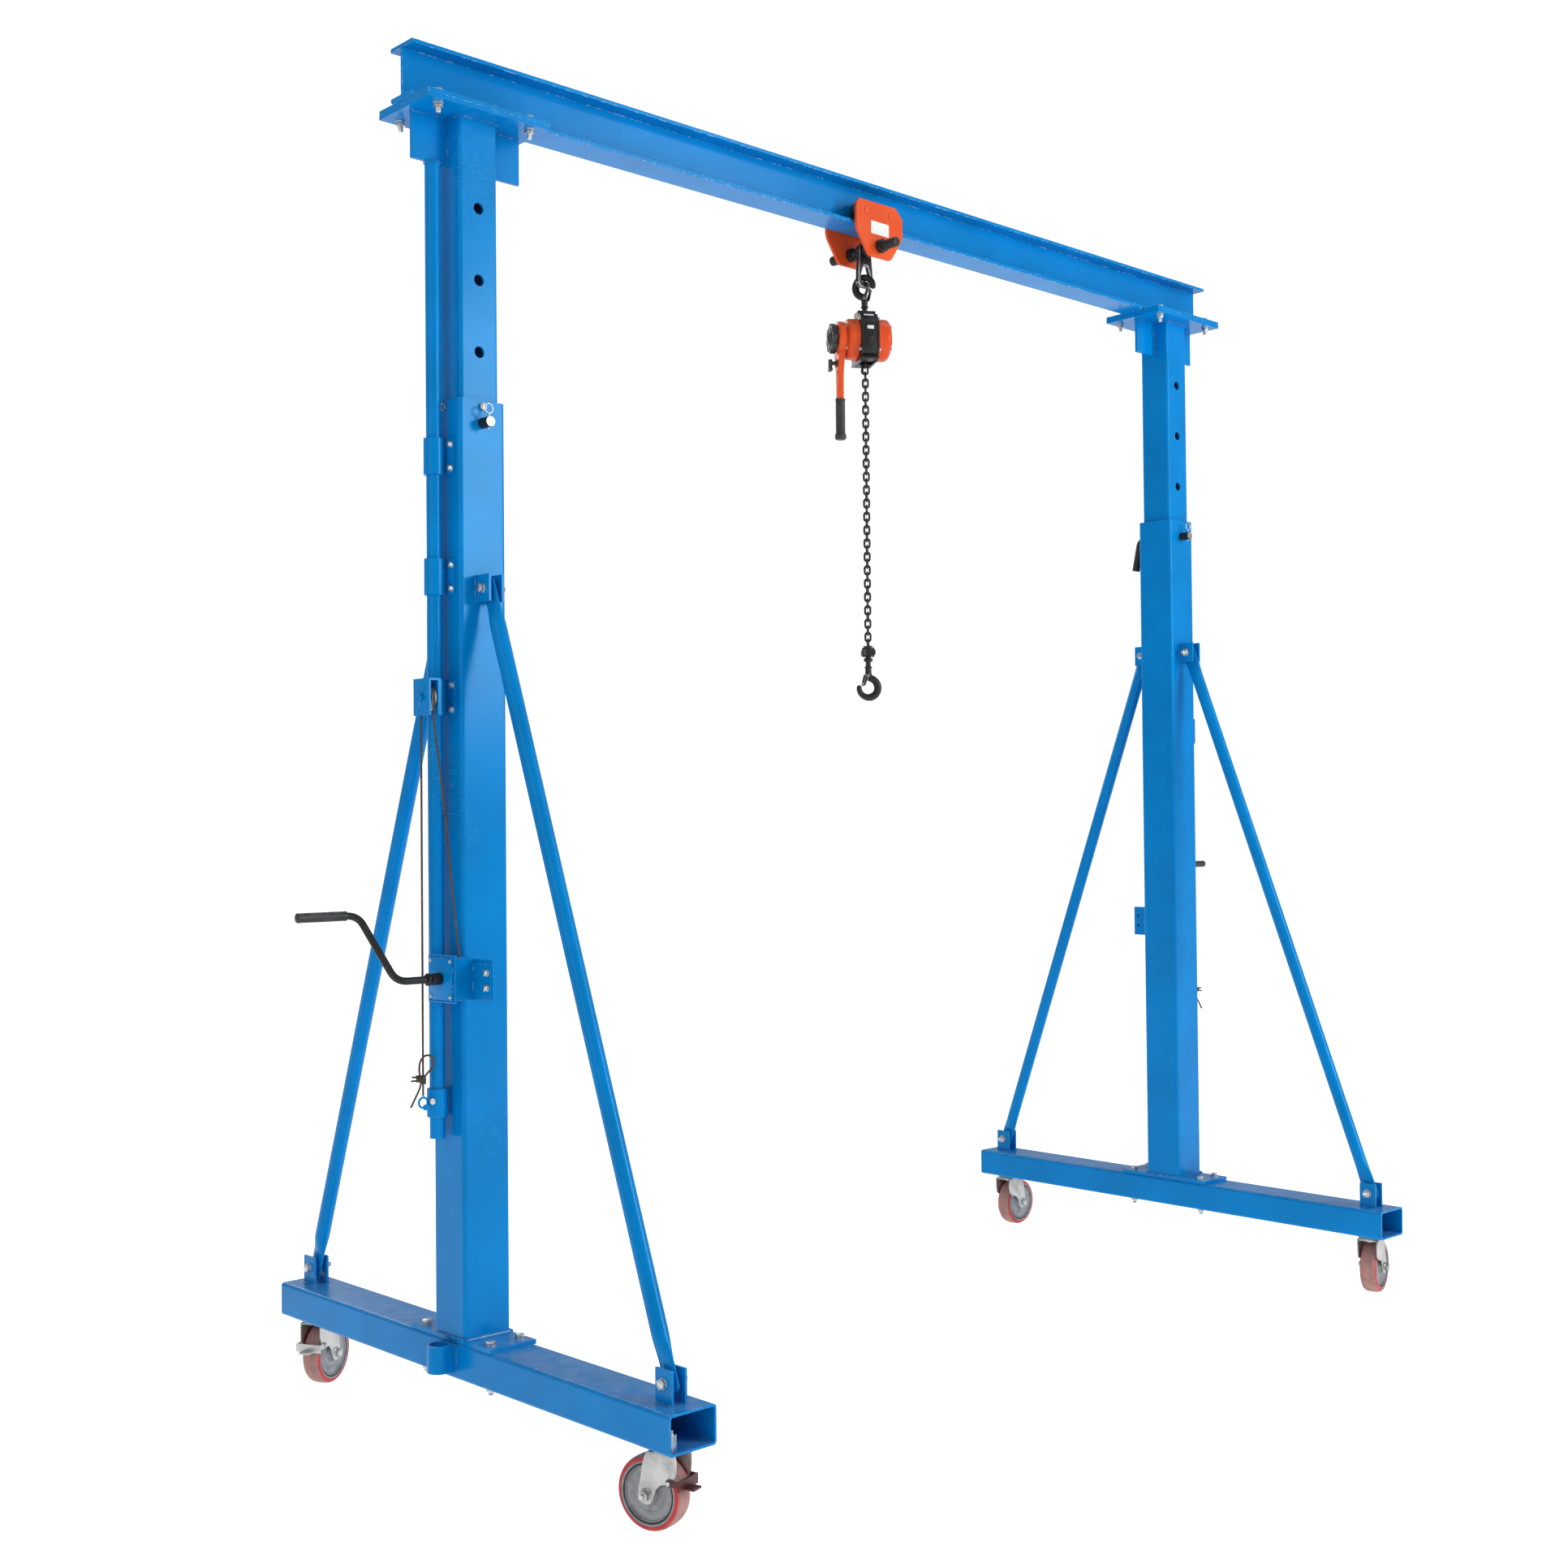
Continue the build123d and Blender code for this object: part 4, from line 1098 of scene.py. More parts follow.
    def welds(self) -> None:
        """The weld beads of the leg."""
        bench = self.bench()
        weld_bead(bench, corner_loop(-LEG_X, 0, 0.2625, 0.0605, 0.0605), 0.0045)
        for way in (-1, 1):
            for ear in (-0.02, 0.02):
                x = -LEG_X + ear
                side = math.copysign(0.0008, ear)
                weld_bead(bench, line((x + side, way * 0.685 - 0.025, 0.252),
                                      (x + side, way * 0.685 + 0.025, 0.252)), 0.0035)
                weld_bead(bench, line((x + side, way * 0.0605, 1.869), (x + side, way * 0.0605, 1.929)),
                          0.0035)
        for y in (-0.0265, 0.0265):
            weld_bead(bench, line((self.face_x - 0.0005, y, 0.190), (self.face_x - 0.0005, y, 0.250)), 0.0035)
        for z in self.guide_heights:
            for y in (-0.0095, 0.0095):
                weld_bead(bench, line((self.face_x - 0.0065, y, z - 0.038),
                                      (self.face_x - 0.0065, y, z + 0.038)), 0.003)
        for z in (1.003, 1.093):
            weld_bead(bench, line((self.face_x, -0.058, z), (self.face_x, -0.026, z)), 0.0035)
        bench.piece(self.node("leg_welds"), self.body, [self.finishes.weld], Slot.BLUE)

    def winch_parts(self) -> None:
        """The crank with its grip, the drum with its rope, and the cover's lip."""
        _, y, z = self.winch
        f = self.finishes
        angle = math.radians(self.crank_angle)
        dy, dz = 0.19 * math.cos(angle), 0.19 * math.sin(angle)
        bench = self.bench()
        corners = ((-1.3835, y, z), (-1.548, y, z), (-1.562, y + dy, z + dz), (-1.706, y + dy, z + dz))
        bench.tube(eased(corners, 0.028), 0.008, 16)
        socket = basis(Vector((-1.439, y, z)), Vector((-1, 0, 0)))
        bench.turned(((0.0079, 0), (0.0122, 0), (0.013, 0.001), (0.013, 0.022), (0.0118, 0.0245),
                      (0.0079, 0.0245)), socket, 28)
        bench.hexagon(0.024, socket, 0.0262, 0.0355)
        grip = basis(Vector((-1.590, y + dy, z + dz)), Vector((-1, 0, 0)))
        sleeve: list[Pair] = [(0.0079, 0.0), (0.0098, 0.0), (0.0106, 0.0009), (0.0108, 0.0025),
                              (0.0105, 0.006), (0.0106, 0.058), (0.0105, 0.111), (0.0109, 0.1135),
                              (0.0106, 0.1158), (0.0092, 0.117), (0.0, 0.1172)]
        bench.turned(sleeve, grip, 32, 1)
        drum = basis(Vector((-1.3845, y, z)), Vector((-1, 0, 0)))
        bench.turned(((0.0079, 0.0015), (0.041, 0.0015), (0.041, 0.0045), (0.030, 0.0045), (0.030, 0.0435),
                      (0.041, 0.0435), (0.041, 0.0465), (0.0079, 0.0465)), drum, 40)
        coil = [drum @ Vector((0.0325 * math.cos(a), 0.0325 * math.sin(a), 0.008 + 0.0052 * a / FULL_TURN))
                for a in angles(24, 24 * 6)]
        bench.tube(coil, 0.0025, 8, material=2)
        bench.piece(self.node("winch_drum_and_crank"), self.node("winch"), [f.black, f.grip, f.rope],
                    Slot.BLACK, [self.node("winch_crank")])
        self.winch_cover()

    def winch_cover(self) -> None:
        """The pressed lip and screws round the winch's open side."""
        bench = self.bench()
        x = -1.438
        rim = ((-0.119, 1.0015), (-0.021, 1.0015), (-0.021, 1.1005), (-0.119, 1.1005), (-0.119, 1.0015))
        lip = [Vector((x + 0.004, py, pz)) for py, pz in rim[:-1]]
        bench.tube(lip, 0.0034, 8, closed=True)
        bench.plate(((-0.0445, -0.0445), (0.0445, -0.0445), (0.0445, 0.0405), (0.0405, 0.0445),
                     (-0.0405, 0.0445), (-0.0445, 0.0405)), 0.0012,
                    Matrix.Translation((x - 0.0006, -0.07, 1.051)) @ Matrix.Rotation(math.pi / 2, 4, "Y")
                    @ Matrix.Rotation(math.pi / 2, 4, "Z"), 0.0005)
        bench.piece(self.node("winch_cover_lip"), self.body, [self.finishes.blue], Slot.BLUE)
        bench = self.bench()
        for y, z in ((-0.108, 1.013), (-0.108, 1.089), (-0.032, 1.013), (-0.032, 1.089)):
            head = basis(Vector((x - 0.0012, y, z)), Vector((-1, 0, 0)))
            bench.turned(((0.0, 0.0), (0.0042, 0.0), (0.0042, 0.001), (0.0032, 0.0023), (0.0016, 0.0026),
                          (0.0014, 0.0012), (0.0, 0.0012)), head, 20)
        bench.piece(self.node("winch_cover_screws"), self.body, [self.finishes.zinc], Slot.ZINC)

    def rope_pulley(self) -> None:
        """The grooved pulley."""
        bench = self.bench()
        where = basis(Vector(self.pulley), Vector((-1, 0, 0)))
        half: list[Pair] = [(0.00505, 0.0055), (0.0105, 0.0055), (0.0112, 0.0042), (0.0235, 0.0038),
                            (0.0245, 0.0054), (0.0282, 0.0054), (0.0285, 0.0050), (0.0272, 0.0038),
                            (0.0243, 0.0026), (0.0229, 0.0013), (0.0225, 0.0)]
        profile = half + [(r, -z) for r, z in reversed(half[:-1])]
        bench.turned([*profile, profile[0]], where, 56)
        bench.piece(self.node("grooved_pulley"), self.node("pulley"), [self.finishes.zinc], Slot.ZINC,
                    [self.node("rope_pulley")])

    def ropes(self) -> None:
        """The standing rope over the pulley, the fall to the eye, its knot, bow and tail."""
        rope = WireRope()
        px, py, pz = self.pulley
        run = 0.0253
        standing = ((-1.41, -0.1057, 1.051), (-1.4146, -0.098, 1.14), (-1.432, -0.068, 1.48),
                    (px, py - run, pz - 0.06), (px, py - run, pz + 0.0125),
                    (px, py - run * 0.62, pz + run * 1.02), (px, py, pz + run * 1.05),
                    (px, py + run * 0.62, pz + run * 1.02), (px, py + run, pz + 0.0125), (px, py + run, pz))
        bench = self.bench()
        path = rope.lay(bench, standing)
        made = bench.piece(self.node("standing_rope"), self.body, [self.finishes.rope], Slot.ROPE,
                           [self.node("winch_rope")], 1.2)
        self.declare(path)
        fall = ((px, py + run, pz), (px, py + run, 1.60), (px, py + run, 0.86), (px, py + run, 0.7935))
        bench = self.bench()
        path = rope.lay(bench, fall)
        made = bench.piece(self.node("rope_fall"), self.body, [self.finishes.rope], Slot.ROPE,
                           [self.node("winch_rope_fall")], 1.2)
        made.parent = None
        del made["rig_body"]
        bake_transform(made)
        self.declare(path)
        self.knot(rope, Vector((px, py + run, self.knot_height)))

    def declare(self, path: Sequence[Vector]) -> None:
        """Works out a rope's centreline turned to this leg and its length, and keeps neither."""
        spots = [self.side.turn @ p for p in path]
        length = sum((b - a).length for a, b in zip(spots, spots[1:]))
        tuple(spots[0])
        [tuple(p) for p in spots]

    def knot(self, rope: WireRope, spot: Vector) -> None:
        """The wrapped knot above the eye, its bow, and the tail.

        Args:
            rope: The rope.
            spot: The knot's centre.
        """
        across, toward = Vector((0.73, -0.684, 0)), Vector((-0.684, -0.73, 0))

        def at(right: float, up: float, near: float = 0.0) -> Point:
            """A point right of, above and before the knot's centre."""
            return tuple(spot + across * right + toward * near + Vector((0, 0, up)))

        bench = self.bench()
        wraps = [Vector(at(0.0052 * math.cos(a), 0.0045 * a / FULL_TURN - 0.009, 0.0052 * math.sin(a)))
                 for a in angles(16, 16 * 3)]
        bench.tube(wraps, 0.0024, 8)
        hitch = [Vector(at(0.004 - 0.0046 * a / FULL_TURN, 0.001 + 0.0062 * math.cos(a),
                           0.0042 + 0.0062 * math.sin(a)))
                 for a in angles(16, 16 * 4)]
        bench.tube(hitch, 0.0024, 8)
        for lift, reach in ((-0.003, 0.0255), (0.0035, 0.0235)):
            bench.tube([Vector(at(-0.010, lift, 0.004)), Vector(at(-reach, lift * 1.4, 0.005))], 0.0022, 8)
        bow = (at(0.002, 0.004, 0.005), at(0.0145, 0.0175, 0.006), at(0.0245, 0.030, 0.006),
               at(0.0255, 0.0415, 0.006), at(0.0195, 0.0505, 0.006), at(0.009, 0.0535, 0.0065),
               at(-0.001, 0.0465, 0.0065), at(-0.0065, 0.034, 0.006), at(-0.0075, 0.017, 0.0055),
               at(-0.004, 0.001, 0.006), at(-0.0035, -0.014, 0.0055), at(-0.0145, -0.038, 0.006),
               at(-0.0255, -0.061, 0.007))
        rope.lay(bench, bow)
        bench.piece(self.node("rope_knot"), "bridge", [self.finishes.rope], Slot.ROPE, (), 1.2)

    def pin_clip(self) -> None:
        """The sprung wire clip through the lock pin's end."""
        x, z = self.side.value * LEG_X, self.pin_height
        bench = Bench()
        y = -0.085
        points = [Vector((x, y, z - 0.017)), Vector((x, y, z + 0.0185))]
        for k in range(25):
            a = -math.pi / 2 + FULL_TURN * k / 24 * 0.96
            points.append(Vector((x + 0.0105 * math.cos(a), y, z + 0.0295 + 0.0105 * math.sin(a))))
        points.append(Vector((x - 0.0032, y - 0.001, z + 0.0165)))
        bench.tube(points, 0.0015, 10)
        bench.piece(self.node("wire_clip"), self.node("clip"), [self.finishes.zinc], Slot.ZINC,
                    [self.node("pin_clip")], 1.2)

    def pin_end(self) -> None:
        """The bright sawn end of the lock pin."""
        bench = Bench()
        end = basis(Vector((self.side.value * LEG_X, -0.0919, self.pin_height)), Vector((0, -1, 0)))
        bench.turned(((0.0, 0.0), (0.0116, 0.0), (0.0112, 0.0006), (0.0, 0.0007)), end, 36)
        bench.piece(self.node("sawn_pin_end"), self.node("pin"), [self.finishes.cut], Slot.BLACK)

    def collar_screw(self) -> None:
        """The hex screw that clamps the lift tube's collar."""
        bench = self.bench()
        way = Vector((math.cos(math.radians(215)), math.sin(math.radians(215)), 0))
        seat = basis(Vector((TUBE_X, 0, self.collar_height)) + way * 0.0225, way)
        bench.hexagon(0.013, seat, 0.0, 0.0052)
        bench.turned(((0.0, 0.005), (0.0036, 0.005), (0.0034, 0.0068), (0.0, 0.0072)), seat, 20)
        bench.piece(self.node("collar_screw"), "bridge", [self.finishes.zinc], Slot.ZINC)

    def pulley_washers(self) -> None:
        """The washers that stand between the lowest guide's bracket and its pulley."""
        bench = self.bench()
        x, y, z = self.pulley
        for way in (-1, 1):
            where = basis(Vector((x + way * 0.0058, y, z)), Vector((way, 0, 0)))
            bench.turned(((0.0052, 0.0), (0.0088, 0.0), (0.0088, 0.0014), (0.0052, 0.0014)), where, 24)
        bench.piece(self.node("pulley_washers"), self.body, [self.finishes.zinc], Slot.ZINC)


@dataclass
class Caster:
    """One swivel caster, made about its own kingpin with its trail along X."""

    name: str
    spot: Pair
    yaw: float
    finishes: Finishes
    braked: bool
    trail: float = 0.038
    wheel: float = 0.074
    wide: float = 0.046

    @property
    def place(self) -> Matrix:
        """Carries the caster to its corner."""
        return headed((*self.spot, 0), self.yaw)

    @property
    def axle(self) -> Matrix:
        """The wheel's axis, along the caster's Y."""
        return basis(Vector((self.trail, 0, self.wheel)), Vector((0, 1, 0)))

    def build(self) -> None:
        """Builds the fork, the wheel and the brake."""
        self.build_fork()
        self.build_wheel()
        if self.braked:
            self.build_brake()

    def build_fork(self) -> None:
        """The pressed fork with its ball race and axle bolt."""
        bench = Bench(self.place)
        top = 0.1667
        bench.turned(((0.0, top), (0.026, top), (0.0305, top - 0.0012), (0.0335, top - 0.0042),
                      (0.0338, top - 0.0075), (0.0318, top - 0.0102), (0.0, top - 0.0105)),
                     Matrix.Identity(4), 56)
        bench.turned(((0.0, top - 0.011), (0.0145, top - 0.011), (0.0145, top - 0.0145),
                      (0.012, top - 0.0175), (0.0, top - 0.0178)), Matrix.Identity(4), 36)
        cheek = 0.028
        crown = ((-0.030, -0.0245), (-0.024, -0.030), (0.030, -0.030), (0.036, -0.0245), (0.036, 0.0245),
                 (0.030, 0.030), (-0.024, 0.030), (-0.030, 0.0245))
        bench.plate(crown, 0.0042, Matrix.Translation((0, 0, top - 0.0086)), 0.0016)
        outline = ((-0.030, 0.160), (0.036, 0.160), (0.0425, 0.146), (0.047, 0.128), (0.0505, 0.108),
                   (0.0545, 0.090), (0.0555, 0.076), (0.053, 0.065), (0.046, 0.0575), (0.037, 0.0555),
                   (0.028, 0.058), (0.0215, 0.065), (0.018, 0.076), (0.0135, 0.088), (0.004, 0.0975),
                   (-0.010, 0.1015), (-0.0225, 0.104), (-0.0295, 0.112), (-0.0325, 0.128), (-0.033, 0.148))
        side_plane = Matrix.Rotation(math.pi / 2, 4, "X")
        for way in (-1, 1):
            bench.plate(outline, 0.004, Matrix.Translation((0, way * cheek, 0)) @ side_plane, 0.0013)
            boss = basis(Vector((self.trail, way * 0.0300, self.wheel)), Vector((0, way, 0)))
            bench.turned(((0.0, 0.0), (0.0135, 0.0), (0.0135, 0.001), (0.0125, 0.0018), (0.0, 0.0018)), boss,
                         32)
        hub = Bolt(0.006, 0.0195, 0.0035)
        hub.add(bench, Vector((self.trail, -0.0316, self.wheel)), Vector((self.trail, 0.0316, self.wheel)))
        if self.braked:
            for way in (-1, 1):
                rivet = basis(Vector((-0.018, way * 0.0295, 0.106)), Vector((0, way, 0)))
                bench.turned(((0.0, 0.0), (0.003, 0.0), (0.003, 0.005), (0.0048, 0.0052), (0.0042, 0.0074),
                              (0.0, 0.0082)), rivet, 20)
        bench.piece(f"{self.name}_pressed_fork", f"{self.name}_fork", [self.finishes.fork], Slot.ZINC,
                    [f"{self.name}_caster_fork"])

    def build_wheel(self) -> None:
        """The cast core, its bearing seals and the two-tone tread."""
        f = self.finishes
        bench = Bench(self.place)
        half = self.wide / 2
        core: list[Pair] = [(0.0062, half + 0.002), (0.0192, half + 0.002), (0.0205, half + 0.0010),
                            (0.0215, half - 0.0020), (0.0232, half - 0.0052), (0.0345, half - 0.0058),
                            (0.0365, half - 0.0040), (0.0392, half - 0.0038), (0.0412, half - 0.0056),
                            (0.0515, half - 0.0050), (0.0532, half - 0.0020), (0.0548, half - 0.0018),
                            (0.0555, half - 0.0050), (0.0585, half - 0.0050), (0.0592, half - 0.0004),
                            (0.0600, half), (0.0635, half)]
        profile = core + [(0.0635, -half)] + [(a, -z) for a, z in reversed(core[:-1])]
        bench.turned([*profile, profile[0]], self.axle, 72, 0)
        side: list[Pair] = [(0.0630, half + 0.0003), (0.0672, half + 0.0003), (0.0692, half - 0.0006),
                            (0.0705, half - 0.0022)]
        shoulder: list[Pair] = [(0.0705, half - 0.0022), (0.0722, half - 0.0042), (0.0734, half - 0.0075),
                                (0.0739, half - 0.012), (0.0740, half - 0.018), (0.0740, 0.0006),
                                (0.07425, 0.0)]
        for way in (-1, 1):
            bench.turned([(a, way * z) for a, z in side], self.axle, 72, 1)
            bench.turned([(a, way * z) for a, z in shoulder], self.axle, 72, 2)
            seal = [(0.0095, way * (half + 0.0023)), (0.0142, way * (half + 0.0023)),
                    (0.0148, way * (half + 0.0019)), (0.0148, way * (half + 0.0005))]
            bench.turned(seal, self.axle, 40, 3)
            ring = [(0.0553, way * (half - 0.0046)), (0.0560, way * (half - 0.0040)),
                    (0.0580, way * (half - 0.0040)), (0.0587, way * (half - 0.0046))]
            bench.turned(ring, self.axle, 48, 3)
        bench.piece(f"{self.name}_tyred_wheel", f"{self.name}_wheel", [f.core, f.tyre, f.tread, f.seal],
                    Slot.TREAD, [f"{self.name}_caster_wheel"])

    def build_brake(self) -> None:
        """Dresses the foot brake and gives its pad ribs."""
        f = self.finishes
        node = f"{self.name}_brake_pedal"
        # The front pedal takes the very dark red, which is painted shade; the rear pedal takes plain zinc.
        red = self.name.endswith("front")
        dress(node, f.pedal if red else f.fork, f.pedal if red else f.zinc, 0.0008)
        bench = Bench(self.place)
        for k in range(5):
            x = -0.061 + k * 0.0046
            bench.box((x - 0.0009, -0.0122, 0.0955), (x + 0.0009, 0.0122, 0.0974), 0.0005)
        bench.piece(f"{self.name}_brake_ribs", f"{self.name}_brake", [f.pedal if red else f.fork], Slot.ZINC)


@dataclass
class Bridge:
    """The I-beam, the masts and the lift tubes, which rise and fall together."""

    finishes: Finishes
    seat_top: float = 2.966
    seat_low: float = 2.946
    collar_welds: Pair = (0.746, 0.806)

    def build(self) -> None:
        """Dresses the steelwork and adds bolts and welds."""
        f = self.finishes
        dress("i_beam", f.blue, f.blue_edge, 0.001)
        for side in Side:
            dress(f"{side.word}_mast", f.blue, f.blue_edge, 0.001)
            dress(f"{side.word}_lift_tube", f.blue, f.blue_edge, 0.0006)
        dress("lift_collars", f.blue, f.blue_edge, 0.001)
        self.bolts()
        for side in Side:
            self.welds(side)

    def bolts(self) -> None:
        """The eight bolts with long threads that hold the beam to the masts."""
        bench = Bench()
        bolt = Bolt(tail=0.012)
        for side in (-1, 1):
            for sx in (-0.12, 0.12):
                for y in (-0.076, 0.076):
                    x = side * LEG_X + sx
                    bolt.add(bench, Vector((x, y, self.seat_top)), Vector((x, y, self.seat_low)))
        bench.piece("beam_seat_bolts", "bridge", [self.finishes.zinc], Slot.ZINC, ["beam_bolts"])

    def welds(self, side: Side) -> None:
        """The weld beads at one end.

        Args:
            side: Which end.
        """
        bench = Bench(side.turn)
        weld_bead(bench, corner_loop(-LEG_X, 0, 2.9455, 0.0505, 0.0505), 0.0045)
        for sx in (-1, 1):
            near, far = -LEG_X + sx * 0.0505, -LEG_X + sx * 0.142
            for y in (-0.0045, 0.0045):
                weld_bead(bench, line((near, y, 2.842), (near, y, 2.944)), 0.0034)
                weld_bead(bench, line((near, y, 2.9455), (far, y, 2.9455)), 0.0034)
        for y in (-0.0445, 0.0445):
            weld_bead(bench, line((-LEG_X - 0.158, y, 2.9665), (-LEG_X + 0.158, y, 2.9665)), 0.004)
        tube = [Vector((TUBE_X + 0.0172 * math.cos(a), 0.0172 * math.sin(a), 2.8405))
                for a in angles(32, 33)]
        weld_bead(bench, tube, 0.003)
        for z in self.collar_welds:
            ring = [Vector((TUBE_X + 0.018 * math.cos(a), 0.018 * math.sin(a), z))
                    for a in angles(32, 33)]
            weld_bead(bench, ring, 0.003)
        bench.piece(f"{side.word}_bridge_welds", "bridge", [self.finishes.weld], Slot.BLUE)


@dataclass
class Trolley:
    """The push trolley with its wheels, crossbar and hanger."""

    finishes: Finishes
    x: float = TROLLEY_X
    bar_z: float = 2.915
    axle_z: float = 3.0033
    spread: float = 0.046

    def build(self) -> None:
        """Builds the trolley."""
        f = self.finishes
        dress("trolley_plates", f.orange, f.orange_edge, 0.0016)
        dress("trolley_hanger", f.black, f.cut, 0.0022)
        self.crossbar()
        for name, way in (("a", -1), ("b", 1)):
            self.wheels(name, self.x + way * self.spread)
        self.trim()

    def crossbar(self) -> None:
        """The threaded crossbar with its knurled ends, nuts and spacers."""
        f = self.finishes
        bench = Bench()
        for way in (-1, 1):
            where = basis(Vector((self.x, 0, self.bar_z)), Vector((0, way, 0)))
            bench.turned(((0.013, 0.0), (0.013, 0.0095)), where, 40)
            bench.turned(((0.013, 0.0098), (0.018, 0.0098), (0.019, 0.011), (0.019, 0.0152), (0.018, 0.0164),
                          (0.0128, 0.0164)), where, 40)
            thread: list[Pair] = [(0.0128, 0.0164)]
            for k in range(10):
                y = 0.0175 + k * 0.002
                thread += [(0.0122, y), (0.0131, y + 0.001)]
            bench.turned([*thread, (0.013, 0.038)], where, 32)
            bench.hexagon(0.034, where, 0.0385, 0.0515)
            bench.turned(((0.013, 0.0606), (0.0175, 0.0606), (0.0175, 0.0622), (0.013, 0.0624)), where, 36)
            bench.hexagon(0.034, where, 0.0625, 0.074)
            knurl: list[Pair] = [(0.0124, 0.074)]
            for k in range(15):
                y = 0.0752 + k * 0.0029
                knurl += [(0.0124, y), (0.0131, y + 0.0009), (0.0131, y + 0.002)]
            bench.turned([*knurl, (0.0122, 0.121), (0.0112, 0.122)], where, 40)
            bench.turned(((0.0112, 0.122), (0.0052, 0.1221), (0.004, 0.1205), (0.0, 0.1205)), where, 32)
        bench.piece("threaded_crossbar", "trolley", [f.black], Slot.BLACK, ["trolley_crossbar"])

    def wheels(self, name: str, x: float) -> None:
        """One pair of flanged wheels.

        Args:
            name: The axle's letter.
            x: Its place along the beam.
        """
        bench = Bench()
        for way in (-1, 1):
            where = basis(Vector((x, 0, self.axle_z)), Vector((0, way, 0)))
            bench.turned(((0.00805, 0.019), (0.0255, 0.019), (0.0272, 0.0198), (0.028, 0.0215),
                          (0.028, 0.0405), (0.0272, 0.0425), (0.0255, 0.043), (0.021, 0.043),
                          (0.0205, 0.0445), (0.0195, 0.0462), (0.014, 0.0466), (0.00805, 0.0466),
                          (0.00805, 0.019)), where, 48)
        bench.piece(f"machined_wheels_{name}", f"axle_{name}", [self.finishes.iron], Slot.IRON,
                    [f"trolley_wheels_{name}"])

    def trim(self) -> None:
        """The axle nuts on the outside of each plate and the blank label."""
        bench = Bench()
        for way in (-1, 1):
            for sx in (-1, 1):
                spot = Vector((self.x + sx * self.spread, way * 0.060, self.axle_z))
                head = basis(spot, Vector((0, way, 0)))
                bench.turned(((0.0, 0.0), (0.0105, 0.0), (0.0108, 0.0008), (0.0095, 0.0026), (0.0, 0.0036)),
                             head, 28)
        bench.piece("trolley_axle_ends", "trolley", [self.finishes.orange], Slot.ORANGE)
        bench = Bench()
        corner = ((-0.034, -0.015), (-0.032, -0.017), (0.032, -0.017), (0.034, -0.015), (0.034, 0.015),
                  (0.032, 0.017), (-0.032, 0.017), (-0.034, 0.015))
        for way in (-1, 1):
            where = Matrix.Translation((self.x, way * 0.0603, 2.962)) @ Matrix.Rotation(math.pi / 2, 4, "X")
            bench.plate(corner, 0.0006, where, 0.0)
        bench.piece("blank_labels", "trolley", [self.finishes.label], Slot.ORANGE)


